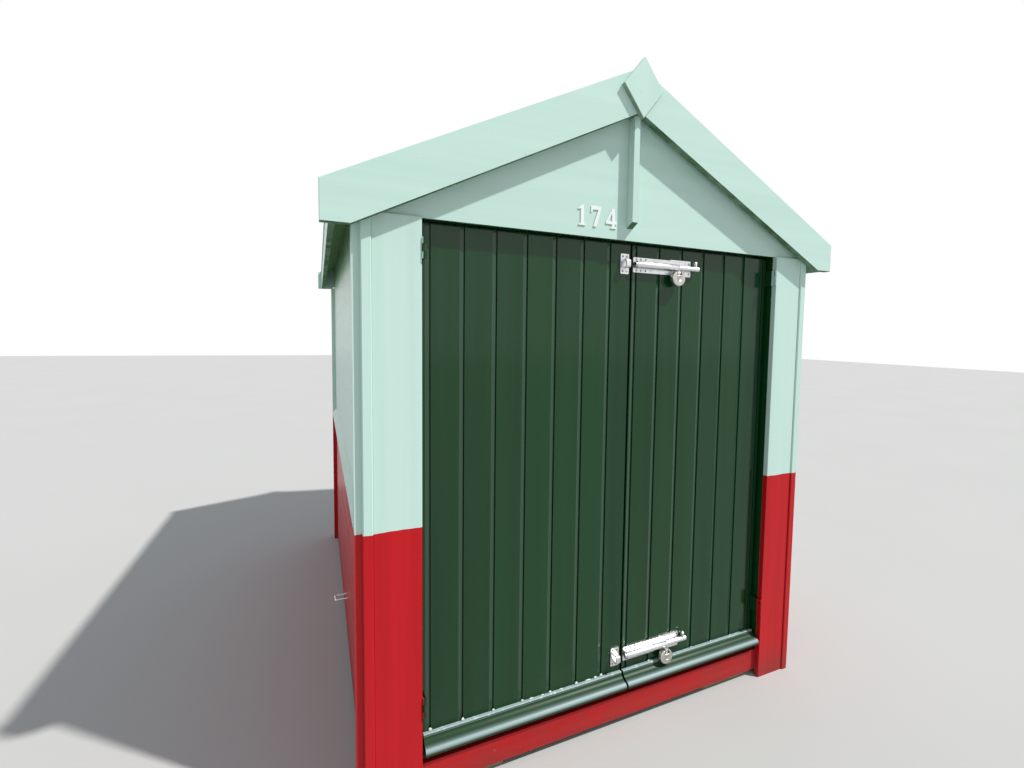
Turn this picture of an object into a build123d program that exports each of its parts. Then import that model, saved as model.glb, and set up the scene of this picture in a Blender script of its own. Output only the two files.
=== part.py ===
from build123d import *
import os

# A timber beach hut with a felted gable roof and a pair of outward-opening doors.
# Millimetres, +Z up, the front faces -Y, and the ground is at Z = 0.
# The middle of the footprint is at X = 0 and Y = 0.

# Driving sizes of the hut
front_width = 1830.0
hut_depth = 2440.0
post_width = 174.0
head_height = 1870.0
red_height = 922.0
roof_pitch = 0.509
gable_side_height = 98.0
eave_overhang = 83.0
end_overhang = 14.0

# Floor
packer_height = 27.0
packer_depth = 90.0
bearer_depth = 75.0
floor_thickness = 18.0
plinth_thickness = 22.0
plinth_gap = 1.0

# Walls
cladding = 18.0
front_board = 22.0
gable_recess = 10.0
boards_bottom = 25.0
stud = 45.0
edge_chamfer = 1.5

# Corner boards
corner_strip_width = 30.0
corner_strip_proud = 6.0
corner_strip_chamfer = 3.0
corner_batten = 22.0
corner_batten_width = 60.0
corner_set_back = 13.0
rear_corner_width = 60.0
rear_corner_thickness = 18.0

# Moulding over the joint between the boards and the panel
dado_height = 50.0
dado_nose = 12.0
dado_depth = 23.0

# Roof
deck_thickness = 15.0
felt_thickness = 3.0
felt_drip = 28.0
cap_half_width = 150.0
fascia_thickness = 18.0
fascia_depth = 103.0
rafter_depth = 60.0
rafter_width = 35.0
rafter_pairs = 4
ridge_thickness = 22.0
ridge_depth = 110.0

# Bargeboards, the plate over their joint and the batten below it
barge_thickness = 30.0
barge_depth = 152.0
horn_lap = 22.0
horn_height = 113.0
diamond_width = 162.0
diamond_height = 206.0
diamond_thickness = 18.0
diamond_drop = 75.0
king_width = 26.0
king_depth = 36.0
king_rise = 42.0
king_bevel = 17.0
king_gap = 2.0

# Door frame
frame_depth = 95.0
stop_width = 15.0
stop_gap = 6.0

# Door leaves
leaf_thickness = 18.0
ledge_thickness = 25.0
ledge_width = 105.0
brace_width = 90.0
lower_ledge_rise = 200.0
upper_ledge_drop = 184.0
ledge_inset_jamb = 22.0
ledge_inset_meeting = 16.0
door_recess = 50.0
meeting_x = 38.0
meeting_gap = 9.0
jamb_gap = 10.0
head_gap = 6.0
sill_gap = 10.0

# Moulded weather bar at the foot of each leaf
bar_depth = 56.0
bar_height = 55.0
bar_rise = 20.0
bar_ledge = 6.0
bar_bead = 4.0
bar_cove_start = 5.0
bar_lip = 27.0
bar_lip_drop = 24.0
bar_nose = 9.0

# Projecting hinges
pin_from_reveal = 7.0
pin_before_front = 4.0
pin_radius = 2.5
barrel_radius = 5.0
barrel_clearance = 0.4
hinge_height = 64.0
knuckle_height = 22.0
knuckle_gap = 1.0
hinge_plate = 2.5
upper_hinge_drop = 84.0
lower_hinge_rise = 200.0
swing_clearance = 5.0

# Padbolts
bolt_plate_length = 271.0
bolt_plate_height = 56.0
bolt_end_length = 50.0
bolt_end_height = 62.0
bolt_plate_thickness = 5.0
plate_corner = 4.0
plate_from_meeting = 1.5
rod_radius = 10.0
rod_length = 300.0
rod_rest_gap = 2.5
rod_lift = 2.0
rod_chamfer = 1.5
rod_clearance = 0.6
tab_width = 7.0
tab_height = 20.0
tab_inset = 14.0
cover_sheet = 2.5
cover_inset = 6.0
cover_to_end = 20.0
strap_width = 18.0
strap_thickness = 4.5
strap_corner = 9.0
keep_width = 36.0
keep_height = 74.0
keep_from_meeting = 9.0
keep_clearance = 1.5
upper_bolt_drop = 72.0
lower_bolt_rise = 140.0

# Disc padlocks hanging from an ear on each bolt plate
padlock_radius = 30.0
padlock_thickness = 24.0
padlock_drop = 43.0
padlock_from_end = 80.0
padlock_edge = 4.0
padlock_off_plate = 12.0
shackle_radius = 4.0
ear_hole_radius = 5.2
ear_width = 8.0
ear_rim = 3.0
notch_width = 22.0
notch_depth = 17.0
shackle_slack = 1.0

# Places worked out from the driving sizes
floor_top = packer_height + bearer_depth + floor_thickness
side_x = front_width / 2
opening_width = front_width - 2 * post_width
inner_x = side_x - cladding
opening_x = opening_width / 2
front_trim_x = side_x - corner_strip_width
front_y = -hut_depth / 2
rear_y = hut_depth / 2
back_of_front = front_y + front_board
gable_y = front_y + gable_recess
wall_rear = rear_y - cladding
floor_front = back_of_front + plinth_thickness
slope = (1 + roof_pitch**2) ** 0.5
deck_under = head_height + gable_side_height + roof_pitch * side_x
deck_top = deck_under + deck_thickness * slope
apex_height = deck_top + felt_thickness * slope
eave_x = side_x + eave_overhang
barge_x = eave_x + horn_lap
roof_front = front_y - end_overhang
roof_rear = rear_y + end_overhang
barge_low = apex_height - barge_depth
horn_bottom = apex_height - roof_pitch * barge_x - horn_height
leaf_front = front_y + door_recess
leaf_back = leaf_front + leaf_thickness
leaf_bottom = floor_top + sill_gap
leaf_top = head_height - head_gap
hinge_edge = opening_x - jamb_gap
left_free_x = meeting_x - meeting_gap / 2
right_free_x = meeting_x + meeting_gap / 2
lower_ledge = leaf_bottom + lower_ledge_rise
upper_ledge = leaf_top - upper_ledge_drop
middle_ledge = (lower_ledge + upper_ledge) / 2
sides = {"left": -1, "right": 1}
free_edges = {"left": left_free_x, "right": right_free_x}


def under_deck(x):
    """Height of the underside of the roof deck at a distance x from the middle."""
    return deck_under - roof_pitch * abs(x)


def over_felt(x):
    """Height of the top of the roof felt at a distance x from the middle."""
    return apex_height - roof_pitch * abs(x)


def at_y(y):
    """Front elevation at depth y: local x is X, local y is Z, and a negative extrusion runs back."""
    return Plane.XZ.offset(-y)


def outline(*corners):
    """Closed face from its corners, in the open sketch."""
    with BuildLine() as edges:
        Polyline(*corners, close=True)
    make_face(edges.edges())


def save(builder, name):
    """Labels a finished sub-part and writes its file."""
    builder.part.label = name
    export_step(builder.part, f"parts/{name}.step")
    print(name)


os.makedirs("parts", exist_ok=True)


# Floor: packers on the ground, a frame of bearers, the deck and the board that closes its front
with BuildPart() as packers:
    front_packer_y = floor_front + packer_depth / 2
    rear_packer_y = wall_rear - packer_depth / 2
    left_packer_width = 158.0
    right_packer_width = 278.0
    rear_packer_width = 1400.0
    left_packer_x = -(opening_x - 131.0 - left_packer_width / 2)
    right_packer_x = opening_x - 2.0 - right_packer_width / 2
    with BuildSketch():
        with Locations((left_packer_x, front_packer_y)):
            Rectangle(left_packer_width, packer_depth)
        with Locations((right_packer_x, front_packer_y)):
            Rectangle(right_packer_width, packer_depth)
        with Locations((0, rear_packer_y)):
            Rectangle(rear_packer_width, packer_depth)
    extrude(amount=packer_height)
save(packers, "packers")

floor_centre = (0, (floor_front + wall_rear) / 2)
floor_length = wall_rear - floor_front
with BuildPart() as floor_frame:
    with BuildSketch(Plane.XY.offset(packer_height)):
        with Locations(floor_centre):
            bay_width = (2 * inner_x - 4 * stud) / 3
            Rectangle(2 * inner_x, floor_length)
            with GridLocations(bay_width + stud, 0, 3, 1):
                Rectangle(bay_width, floor_length - 2 * stud, mode=Mode.SUBTRACT)
    extrude(amount=bearer_depth)
save(floor_frame, "floor_frame")

with BuildPart() as floor_deck:
    with BuildSketch(Plane.XY.offset(packer_height + bearer_depth)):
        with Locations(floor_centre):
            Rectangle(2 * inner_x, floor_length)
    extrude(amount=floor_thickness)
save(floor_deck, "floor_deck")

with BuildPart() as front_plinth:
    with BuildSketch(at_y(back_of_front)):
        plinth_bottom = packer_height + plinth_gap
        with Locations((0, (plinth_bottom + floor_top) / 2)):
            Rectangle(opening_width, floor_top - plinth_bottom)
    extrude(amount=-plinth_thickness)
    chamfer(front_plinth.faces().sort_by(Axis.Y)[0].edges().filter_by(Axis.X), length=edge_chamfer)
save(front_plinth, "front_plinth")


# Side and rear walls: boards below, a smooth panel above
for name, side in sides.items():
    with BuildPart() as lower_boards:
        with BuildSketch(at_y(back_of_front)):
            outline(
                (side * inner_x, boards_bottom),
                (side * side_x, boards_bottom),
                (side * side_x, red_height),
                (side * inner_x, red_height),
            )
        extrude(amount=-(rear_y - back_of_front))
    save(lower_boards, f"{name}_lower_boards")

    with BuildPart() as upper_panel:
        with BuildSketch(at_y(back_of_front)):
            outline(
                (side * inner_x, red_height),
                (side * side_x, red_height),
                (side * side_x, under_deck(side_x)),
                (side * inner_x, under_deck(inner_x)),
            )
        extrude(amount=-(rear_y - back_of_front))
    save(upper_panel, f"{name}_upper_panel")

with BuildPart() as rear_lower_boards:
    with BuildSketch(at_y(wall_rear)):
        with Locations((0, (boards_bottom + red_height) / 2)):
            Rectangle(2 * inner_x, red_height - boards_bottom)
    extrude(amount=-cladding)
save(rear_lower_boards, "rear_lower_boards")

with BuildPart() as rear_upper_panel:
    with BuildSketch(at_y(wall_rear)):
        outline(
            (-inner_x, red_height),
            (inner_x, red_height),
            (inner_x, under_deck(inner_x)),
            (0, under_deck(0)),
            (-inner_x, under_deck(inner_x)),
        )
    extrude(amount=-cladding)
save(rear_upper_panel, "rear_upper_panel")


# Mouldings between the corner boards: a thin nose with a top that sheds water
front_batten_end = front_y + corner_set_back + corner_batten_width
rear_batten_start = rear_y - corner_batten_width
rear_corner_x = side_x + corner_batten - rear_corner_width


def dado_profile(along, wall, outward):
    """Section of the moulding: along turns an offset from the wall and a height into a sketch point."""
    outline(
        along(wall, red_height),
        along(wall + outward * dado_depth, red_height),
        along(wall + outward * dado_depth, red_height + dado_nose),
        along(wall, red_height + dado_height),
    )


with BuildPart() as dado_mouldings:
    for side in sides.values():
        with BuildSketch(at_y(front_batten_end)):
            dado_profile(lambda x, z: (x, z), side * side_x, side)
        extrude(amount=-(rear_batten_start - front_batten_end))
    with BuildSketch(Plane.YZ.offset(-rear_corner_x)):
        dado_profile(lambda y, z: (y, z), rear_y, 1)
    extrude(amount=2 * rear_corner_x)
save(dado_mouldings, "dado_mouldings")


# Corner boards: in plan an L; the front ones stand proud of the front wall and their side legs are set back
for name, side in sides.items():
    leg_x = side * (side_x + corner_batten)
    with BuildPart() as front_corner:
        with BuildSketch(at_y(front_y - corner_strip_proud)):
            outline(
                (side * front_trim_x, 0),
                (side * side_x, 0),
                (side * side_x, under_deck(side_x)),
                (side * front_trim_x, under_deck(front_trim_x)),
            )
        extrude(amount=-(corner_strip_proud + front_board))
        strip_face = front_corner.faces().sort_by(Axis.Y)[0]
        chamfer(strip_face.edges().filter_by(Axis.Z), length=corner_strip_chamfer)
        with BuildSketch(at_y(front_y + corner_set_back)):
            outline(
                (side * side_x, 0),
                (leg_x, 0),
                (leg_x, under_deck(leg_x)),
                (side * side_x, under_deck(side_x)),
            )
        extrude(amount=-corner_batten_width)
    save(front_corner, f"{name}_front_corner")

with BuildPart() as rear_corners:
    with BuildSketch():
        for side in sides.values():
            leg_x = side * (side_x + corner_batten)
            outline(
                (side * side_x, rear_batten_start),
                (leg_x, rear_batten_start),
                (leg_x, rear_y + rear_corner_thickness),
                (side * rear_corner_x, rear_y + rear_corner_thickness),
                (side * rear_corner_x, rear_y),
                (side * side_x, rear_y),
            )
    extrude(amount=horn_bottom)
save(rear_corners, "rear_corners")


# Front wall: a wide board beside each jamb, and a thinner gable panel set back over the doorway
for name, side in sides.items():
    with BuildPart() as post_board:
        with BuildSketch(at_y(front_y)):
            outline(
                (side * opening_x, 0),
                (side * front_trim_x, 0),
                (side * front_trim_x, head_height),
                (side * opening_x, head_height),
            )
        extrude(amount=-front_board)
        chamfer(post_board.faces().sort_by(Axis.Y)[0].edges().filter_by(Axis.Z), length=edge_chamfer)
    save(post_board, f"{name}_post_board")

with BuildPart() as gable_panel:
    with BuildSketch(at_y(gable_y)):
        outline(
            (-front_trim_x, head_height),
            (front_trim_x, head_height),
            (front_trim_x, under_deck(front_trim_x)),
            (0, under_deck(0)),
            (-front_trim_x, under_deck(front_trim_x)),
        )
    extrude(amount=-(back_of_front - gable_y))
save(gable_panel, "gable_panel")

king_half = king_width / 2
king_top = barge_low - king_gap
with BuildPart() as king_batten:
    with BuildSketch(at_y(gable_y - king_depth)):
        outline(
            (-king_half, head_height + king_rise),
            (king_half, head_height + king_rise),
            (king_half, king_top - roof_pitch * king_half),
            (0, king_top),
            (-king_half, king_top - roof_pitch * king_half),
        )
    extrude(amount=-king_depth)
    chamfer(king_batten.faces().sort_by(Axis.Y)[0].edges().filter_by(Axis.Z), length=edge_chamfer)
    with BuildSketch(Plane.YZ.offset(-king_half)):
        king_foot = head_height + king_rise
        outline(
            (gable_y - king_depth, king_foot),
            (gable_y, king_foot),
            (gable_y - king_depth, king_foot + king_bevel),
        )
    extrude(amount=king_width, mode=Mode.SUBTRACT)
save(king_batten, "king_batten")


# Door frame: jambs and head in one, with a stop behind the leaves
stop_front = leaf_back + stop_gap
frame_back = back_of_front + frame_depth
with BuildPart() as door_frame:
    with BuildSketch(at_y(back_of_front)):
        with Locations((0, (floor_top + head_height + stud) / 2)):
            Rectangle(opening_width + 2 * stud, head_height + stud - floor_top)
        with Locations((0, (floor_top + head_height) / 2)):
            Rectangle(opening_width, head_height - floor_top, mode=Mode.SUBTRACT)
    extrude(amount=-frame_depth)
    with BuildSketch(at_y(stop_front)):
        with Locations((0, (floor_top + head_height) / 2)):
            Rectangle(opening_width, head_height - floor_top)
        with Locations((0, (floor_top + head_height - stop_width) / 2)):
            Rectangle(
                opening_width - 2 * stop_width,
                head_height - stop_width - floor_top,
                mode=Mode.SUBTRACT,
            )
    extrude(amount=-(frame_back - stop_front))
save(door_frame, "door_frame")


# Wall framing: a sole plate and a wall plate round the back and sides, and the studs between them
plate_top = under_deck(inner_x)
stud_in = inner_x - stud
with BuildPart() as wall_frame:
    for rail_z in (floor_top, plate_top - stud):
        with BuildSketch(Plane.XY.offset(rail_z)):
            outline(
                (-inner_x, back_of_front),
                (-stud_in, back_of_front),
                (-stud_in, wall_rear - stud),
                (stud_in, wall_rear - stud),
                (stud_in, back_of_front),
                (inner_x, back_of_front),
                (inner_x, wall_rear),
                (-inner_x, wall_rear),
            )
        extrude(amount=stud)
    with BuildSketch(Plane.XY.offset(floor_top)):
        side_span = wall_rear - back_of_front - stud
        rear_span = 2 * inner_x - stud
        with Locations((0, (back_of_front + wall_rear) / 2)):
            with GridLocations(rear_span, side_span / 3, 2, 4):
                Rectangle(stud, stud)
        with Locations((0, wall_rear - stud / 2)):
            with GridLocations(rear_span / 3, 0, 4, 1):
                Rectangle(stud, stud)
    extrude(amount=plate_top - floor_top)
save(wall_frame, "wall_frame")


# Roof framing: a ridge board and pairs of rafters under the deck
rafter_foot = stud_in - plinth_gap
frame_rear = wall_rear - stud
with BuildPart() as roof_frame:
    with BuildSketch(at_y(back_of_front)):
        ridge_half = ridge_thickness / 2
        outline(
            (-ridge_half, under_deck(0) - ridge_depth),
            (ridge_half, under_deck(0) - ridge_depth),
            (ridge_half, under_deck(ridge_half)),
            (0, under_deck(0)),
            (-ridge_half, under_deck(ridge_half)),
        )
    extrude(amount=-(frame_rear - back_of_front))
    rafter_spacing = (frame_rear - back_of_front - rafter_width) / (rafter_pairs - 1)
    for pair in range(rafter_pairs):
        with BuildSketch(at_y(back_of_front + pair * rafter_spacing)):
            outline(
                (0, under_deck(0)),
                (rafter_foot, under_deck(rafter_foot)),
                (rafter_foot, under_deck(rafter_foot) - rafter_depth),
                (0, under_deck(0) - rafter_depth),
                (-rafter_foot, under_deck(rafter_foot) - rafter_depth),
                (-rafter_foot, under_deck(rafter_foot)),
            )
        extrude(amount=-rafter_width)
save(roof_frame, "roof_frame")


# Roof: two boarded decks, one folded skin of felt with its drips, and the ridge cap
roof_length = roof_rear - roof_front
deck_edge_top = deck_top - roof_pitch * eave_x
for name, side in sides.items():
    with BuildPart() as roof_deck:
        with BuildSketch(at_y(roof_front)):
            outline(
                (0, deck_under),
                (side * eave_x, under_deck(eave_x)),
                (side * eave_x, deck_edge_top),
                (0, deck_top),
            )
        extrude(amount=-roof_length)
    save(roof_deck, f"{name}_roof_deck")

with BuildPart() as roof_felt:
    with BuildSketch(at_y(roof_front)):
        felt_x = eave_x + felt_thickness
        drip_z = deck_edge_top - felt_drip
        outline(
            (0, deck_top),
            (eave_x, deck_edge_top),
            (eave_x, drip_z),
            (felt_x, drip_z),
            (felt_x, over_felt(felt_x)),
            (0, apex_height),
            (-felt_x, over_felt(felt_x)),
            (-felt_x, drip_z),
            (-eave_x, drip_z),
            (-eave_x, deck_edge_top),
        )
    extrude(amount=-roof_length)
save(roof_felt, "roof_felt")

with BuildPart() as ridge_cap:
    with BuildSketch(at_y(roof_front)):
        cap_rise = felt_thickness * slope
        outline(
            (0, apex_height),
            (cap_half_width, over_felt(cap_half_width)),
            (cap_half_width, over_felt(cap_half_width) + cap_rise),
            (0, apex_height + cap_rise),
            (-cap_half_width, over_felt(cap_half_width) + cap_rise),
            (-cap_half_width, over_felt(cap_half_width)),
        )
    extrude(amount=-roof_length)
save(ridge_cap, "ridge_cap")

with BuildPart() as fascias:
    fascia_in = eave_x - fascia_thickness
    fascia_bottom = under_deck(eave_x) - fascia_depth
    with BuildSketch(at_y(roof_front)):
        for side in sides.values():
            outline(
                (side * fascia_in, fascia_bottom),
                (side * eave_x, fascia_bottom),
                (side * eave_x, under_deck(eave_x)),
                (side * fascia_in, under_deck(fascia_in)),
            )
    extrude(amount=-roof_length)
save(fascias, "fascias")


# Bargeboards with square horns, and a diamond plate over the joint at each end
horn_inner_x = (barge_low - horn_bottom) / roof_pitch
barge_starts = {"front": roof_front - barge_thickness, "rear": roof_rear}
diamond_starts = {
    "front": roof_front - barge_thickness - diamond_thickness,
    "rear": roof_rear + barge_thickness,
}
shown_face = {"front": 0, "rear": -1}
for end, barge_y in barge_starts.items():
    for name, side in sides.items():
        with BuildPart() as bargeboard:
            with BuildSketch(at_y(barge_y)):
                outline(
                    (0, barge_low),
                    (side * horn_inner_x, horn_bottom),
                    (side * barge_x, horn_bottom),
                    (side * barge_x, over_felt(barge_x)),
                    (0, apex_height),
                )
            extrude(amount=-barge_thickness)
            face = bargeboard.faces().sort_by(Axis.Y)[shown_face[end]]
            chamfer(face.edges().sort_by(Axis.Z)[:2], length=edge_chamfer)
        save(bargeboard, f"{end}_{name}_bargeboard")

    with BuildPart() as diamond:
        with BuildSketch(at_y(diamond_starts[end])):
            diamond_centre = apex_height - diamond_drop
            outline(
                (0, diamond_centre - diamond_height / 2),
                (diamond_width / 2, diamond_centre),
                (0, diamond_centre + diamond_height / 2),
                (-diamond_width / 2, diamond_centre),
            )
        extrude(amount=-diamond_thickness)
        face = diamond.faces().sort_by(Axis.Y)[shown_face[end]]
        chamfer(face.edges(), length=edge_chamfer)
    save(diamond, f"{end}_diamond")


# Door leaves: a boarded slab with three ledges and two braces on its back
for name, side in sides.items():
    hinge_x = side * hinge_edge
    free_x = free_edges[name]
    ledge_hinge = hinge_x - side * ledge_inset_jamb
    ledge_free = free_x + side * ledge_inset_meeting
    with BuildPart() as leaf:
        with BuildSketch(at_y(leaf_front)):
            with Locations(((hinge_x + free_x) / 2, (leaf_bottom + leaf_top) / 2)):
                Rectangle(abs(hinge_x - free_x), leaf_top - leaf_bottom)
        extrude(amount=-leaf_thickness)
        with BuildSketch(at_y(leaf_back)):
            for ledge in (lower_ledge, middle_ledge, upper_ledge):
                with Locations(((ledge_hinge + ledge_free) / 2, ledge)):
                    Rectangle(abs(ledge_hinge - ledge_free), ledge_width)
            for low, high in ((lower_ledge, middle_ledge), (middle_ledge, upper_ledge)):
                outline(
                    (ledge_hinge, low + ledge_width / 2),
                    (ledge_hinge - side * brace_width, low + ledge_width / 2),
                    (ledge_free, high - ledge_width / 2),
                    (ledge_free + side * brace_width, high - ledge_width / 2),
                )
        extrude(amount=-ledge_thickness)
    save(leaf, f"{name}_leaf")


# Weather bars: a ledge and a bead at the top, a cove, and a rounded lip with a sloping underside
bar_back_bottom = leaf_bottom + bar_rise
bar_top = bar_back_bottom + bar_height
lip_top = bar_top - bar_lip_drop
lip_bottom = lip_top - bar_lip
bar_front = leaf_front - bar_depth
for name, side in sides.items():
    low_x, high_x = sorted((side * hinge_edge, free_edges[name]))
    with BuildPart() as weather_bar:
        with BuildSketch(Plane.YZ.offset(low_x)):
            with BuildLine():
                ledge_end = (leaf_front - bar_ledge, bar_top)
                bead_end = (leaf_front - bar_ledge - 2 * bar_bead, bar_top - bar_cove_start)
                bead_crest = (leaf_front - bar_ledge - bar_bead, bar_top + bar_bead / 2)
                nose_top = (bar_front + bar_nose, lip_top)
                nose_tip = (bar_front, (lip_top + lip_bottom) / 2)
                nose_bottom = (bar_front + bar_nose, lip_bottom)
                Line((leaf_front, bar_back_bottom), (leaf_front, bar_top))
                Line((leaf_front, bar_top), ledge_end)
                ThreePointArc(ledge_end, bead_crest, bead_end)
                TangentArc(nose_top, bead_end, tangent=(1, 0), tangent_from_first=True)
                ThreePointArc(nose_top, nose_tip, nose_bottom)
                Line(nose_bottom, (leaf_front, bar_back_bottom))
            make_face()
        extrude(amount=high_x - low_x)
    save(weather_bar, f"{name}_weather_bar")


# Projecting hinges: each pin stands before the front boards, so the weather bar swings clear of them
hinge_levels = (leaf_bottom + lower_hinge_rise, leaf_top - upper_hinge_drop)
pin_y = front_y - pin_before_front
plate_start_y = pin_y + barrel_radius + swing_clearance
lug_height = (hinge_height - knuckle_height) / 2 - knuckle_gap
for name, side in sides.items():
    pin = (side * (opening_x - pin_from_reveal), pin_y)
    reveal_x = side * opening_x
    plate_x = reveal_x - side * hinge_plate
    with BuildPart() as post_hinges:
        for level in hinge_levels:
            hinge_foot = level - hinge_height / 2
            with BuildSketch(Plane.XY.offset(hinge_foot)):
                with Locations(((reveal_x + plate_x) / 2, (plate_start_y + leaf_back) / 2)):
                    Rectangle(hinge_plate, leaf_back - plate_start_y)
                with Locations(pin):
                    Circle(pin_radius)
            extrude(amount=hinge_height)
            for lug_foot in (hinge_foot, hinge_foot + hinge_height - lug_height):
                with BuildSketch(Plane.XY.offset(lug_foot)):
                    with Locations(pin):
                        Circle(barrel_radius)
                    outline(
                        (reveal_x, plate_start_y),
                        (plate_x, plate_start_y),
                        pin,
                        (pin[0], pin_y - barrel_radius / 2),
                        (reveal_x, pin_y),
                    )
                extrude(amount=lug_height)
    save(post_hinges, f"{name}_post_hinges")

    edge_x = side * hinge_edge
    flap_x = edge_x + side * hinge_plate
    with BuildPart() as leaf_hinges:
        for level in hinge_levels:
            knuckle_foot = level - knuckle_height / 2
            with BuildSketch(Plane.XY.offset(knuckle_foot)):
                with Locations(pin):
                    Circle(barrel_radius)
                outline(
                    (edge_x, pin_y),
                    (flap_x, pin_y),
                    (flap_x, plate_start_y),
                    (edge_x, plate_start_y),
                )
            extrude(amount=knuckle_height)
            with BuildSketch(Plane.XY.offset(level - hinge_height / 2)):
                with Locations(((edge_x + flap_x) / 2, (plate_start_y + leaf_back) / 2)):
                    Rectangle(hinge_plate, leaf_back - plate_start_y)
            extrude(amount=hinge_height)
            with BuildSketch(Plane.XY.offset(knuckle_foot)):
                with Locations(pin):
                    Circle(pin_radius + barrel_clearance)
            extrude(amount=knuckle_height, mode=Mode.SUBTRACT)
    save(leaf_hinges, f"{name}_leaf_hinges")


# Padbolts across the meeting line, drawn back in the rest pose
bolt_levels = {"upper": leaf_top - upper_bolt_drop, "lower": leaf_bottom + lower_bolt_rise}
bolt_face = leaf_front - bolt_plate_thickness
rod_y = bolt_face - rod_lift - rod_radius
plate_low_x = right_free_x + plate_from_meeting
plate_high_x = plate_low_x + bolt_plate_length
keep_high_x = left_free_x - keep_from_meeting
rod_x = right_free_x + rod_rest_gap
padlock_x = plate_high_x - padlock_from_end
shackle_y = bolt_face - padlock_off_plate - padlock_thickness / 2


def cover_section(level, radius, mode=Mode.ADD):
    """Half round over the rod with straight sides down to the plate, in a plane across the rod."""
    side_reach = bolt_face - rod_y
    with Locations((rod_y, level)):
        Circle(radius, mode=mode)
    with Locations((rod_y + side_reach / 2, level)):
        Rectangle(side_reach, 2 * radius, mode=mode)


with BuildPart() as bolt_plates:
    for level in bolt_levels.values():
        with BuildSketch(at_y(leaf_front)):
            main_length = bolt_plate_length - bolt_end_length + plate_corner
            with Locations((plate_low_x + main_length / 2, level)):
                RectangleRounded(main_length, bolt_plate_height, plate_corner)
            with Locations((plate_high_x - bolt_end_length, level)):
                RectangleRounded(2 * bolt_end_length, bolt_end_height, plate_corner)
        extrude(amount=bolt_plate_thickness)
        with BuildSketch(Plane.YZ.offset(plate_low_x + cover_inset)):
            cover_section(level, rod_radius + rod_clearance + cover_sheet)
            cover_section(level, rod_radius + rod_clearance, mode=Mode.SUBTRACT)
        extrude(amount=bolt_plate_length - bolt_end_length - cover_inset - cover_to_end)
        ear_z = level - padlock_drop + padlock_radius - notch_depth / 2 + shackle_slack
        ear_reach = bolt_face - shackle_y + ear_hole_radius + ear_rim
        with BuildSketch(Plane.YZ.offset(padlock_x - ear_width / 2)):
            with Locations((bolt_face - ear_reach / 2, ear_z)):
                Rectangle(ear_reach, 2 * (ear_hole_radius + ear_rim))
            with Locations((shackle_y, ear_z)):
                Circle(ear_hole_radius, mode=Mode.SUBTRACT)
        extrude(amount=ear_width)
save(bolt_plates, "bolt_plates")

with BuildPart() as bolt_keeps:
    for level in bolt_levels.values():
        with BuildSketch(at_y(leaf_front)):
            with Locations((keep_high_x - keep_width / 2, level)):
                RectangleRounded(keep_width, keep_height, plate_corner)
        extrude(amount=bolt_plate_thickness)
        keep_inner = rod_radius + keep_clearance
        keep_outer = keep_inner + strap_thickness
        inner_reach = bolt_face - rod_y + keep_inner
        outer_reach = inner_reach + strap_thickness
        with BuildSketch(Plane.YZ.offset(keep_high_x - (keep_width + strap_width) / 2)):
            with Locations((bolt_face - outer_reach / 2, level)):
                RectangleRounded(outer_reach, 2 * keep_outer, strap_corner)
            with Locations((bolt_face - strap_corner / 2, level)):
                Rectangle(strap_corner, 2 * keep_outer)
            with Locations((bolt_face - inner_reach / 2, level)):
                Rectangle(inner_reach, 2 * keep_inner, mode=Mode.SUBTRACT)
        extrude(amount=strap_width)
save(bolt_keeps, "bolt_keeps")

for name, level in bolt_levels.items():
    with BuildPart() as bolt_rod:
        with BuildSketch(Plane.YZ.offset(rod_x)):
            with Locations((rod_y, level)):
                Circle(rod_radius)
        extrude(amount=rod_length)
        chamfer(bolt_rod.edges().filter_by(GeomType.CIRCLE), length=rod_chamfer)
        with BuildSketch(Plane.YZ.offset(rod_x + rod_length - tab_inset - tab_width)):
            with Locations((rod_y, level + (rod_radius + tab_height) / 2)):
                SlotOverall(rod_radius + tab_height, 2 * rod_radius - 2 * rod_chamfer, rotation=90)
        extrude(amount=tab_width)
    save(bolt_rod, f"{name}_bolt_rod")

with BuildPart() as padlocks:
    for level in bolt_levels.values():
        disc_z = level - padlock_drop
        ear_z = disc_z + padlock_radius - notch_depth / 2 + shackle_slack
        disc_back = shackle_y + padlock_thickness / 2
        with BuildSketch(Plane.YZ.offset(padlock_x)):
            with BuildLine():
                rim_low = disc_back - padlock_thickness
                Polyline(
                    (disc_back, disc_z),
                    (disc_back, disc_z + padlock_radius - padlock_edge),
                    (disc_back - padlock_edge, disc_z + padlock_radius),
                    (rim_low + padlock_edge, disc_z + padlock_radius),
                    (rim_low, disc_z + padlock_radius - padlock_edge),
                    (rim_low, disc_z),
                    close=True,
                )
            make_face()
        revolve(axis=Axis((padlock_x, 0, disc_z), (0, 1, 0)))
        with BuildSketch(at_y(disc_back)):
            with Locations((padlock_x, disc_z + padlock_radius)):
                Rectangle(notch_width, 2 * notch_depth)
        extrude(amount=padlock_thickness, mode=Mode.SUBTRACT)
        with BuildSketch(Plane.YZ.offset(padlock_x - notch_width / 2 - shackle_radius)):
            with Locations((shackle_y, ear_z - shackle_slack)):
                Circle(shackle_radius)
        extrude(amount=notch_width + 2 * shackle_radius)
save(padlocks, "padlocks")
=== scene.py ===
# %% [markdown]
# # A timber beach hut, dressed in Blender
# The construction of the hut is a fixed CAD frame in metres, with the front facing -Y and the
# ground at Z = 0. This lesson keeps every CAD piece where it is and adds what a painter, a felter
# and an ironmonger would add: paint, board joints, felt laps, screws, numerals and a padlock face.

# %% Load the frame
import math
import random

import bmesh
import bpy
from mathutils import Matrix, Vector


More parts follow.
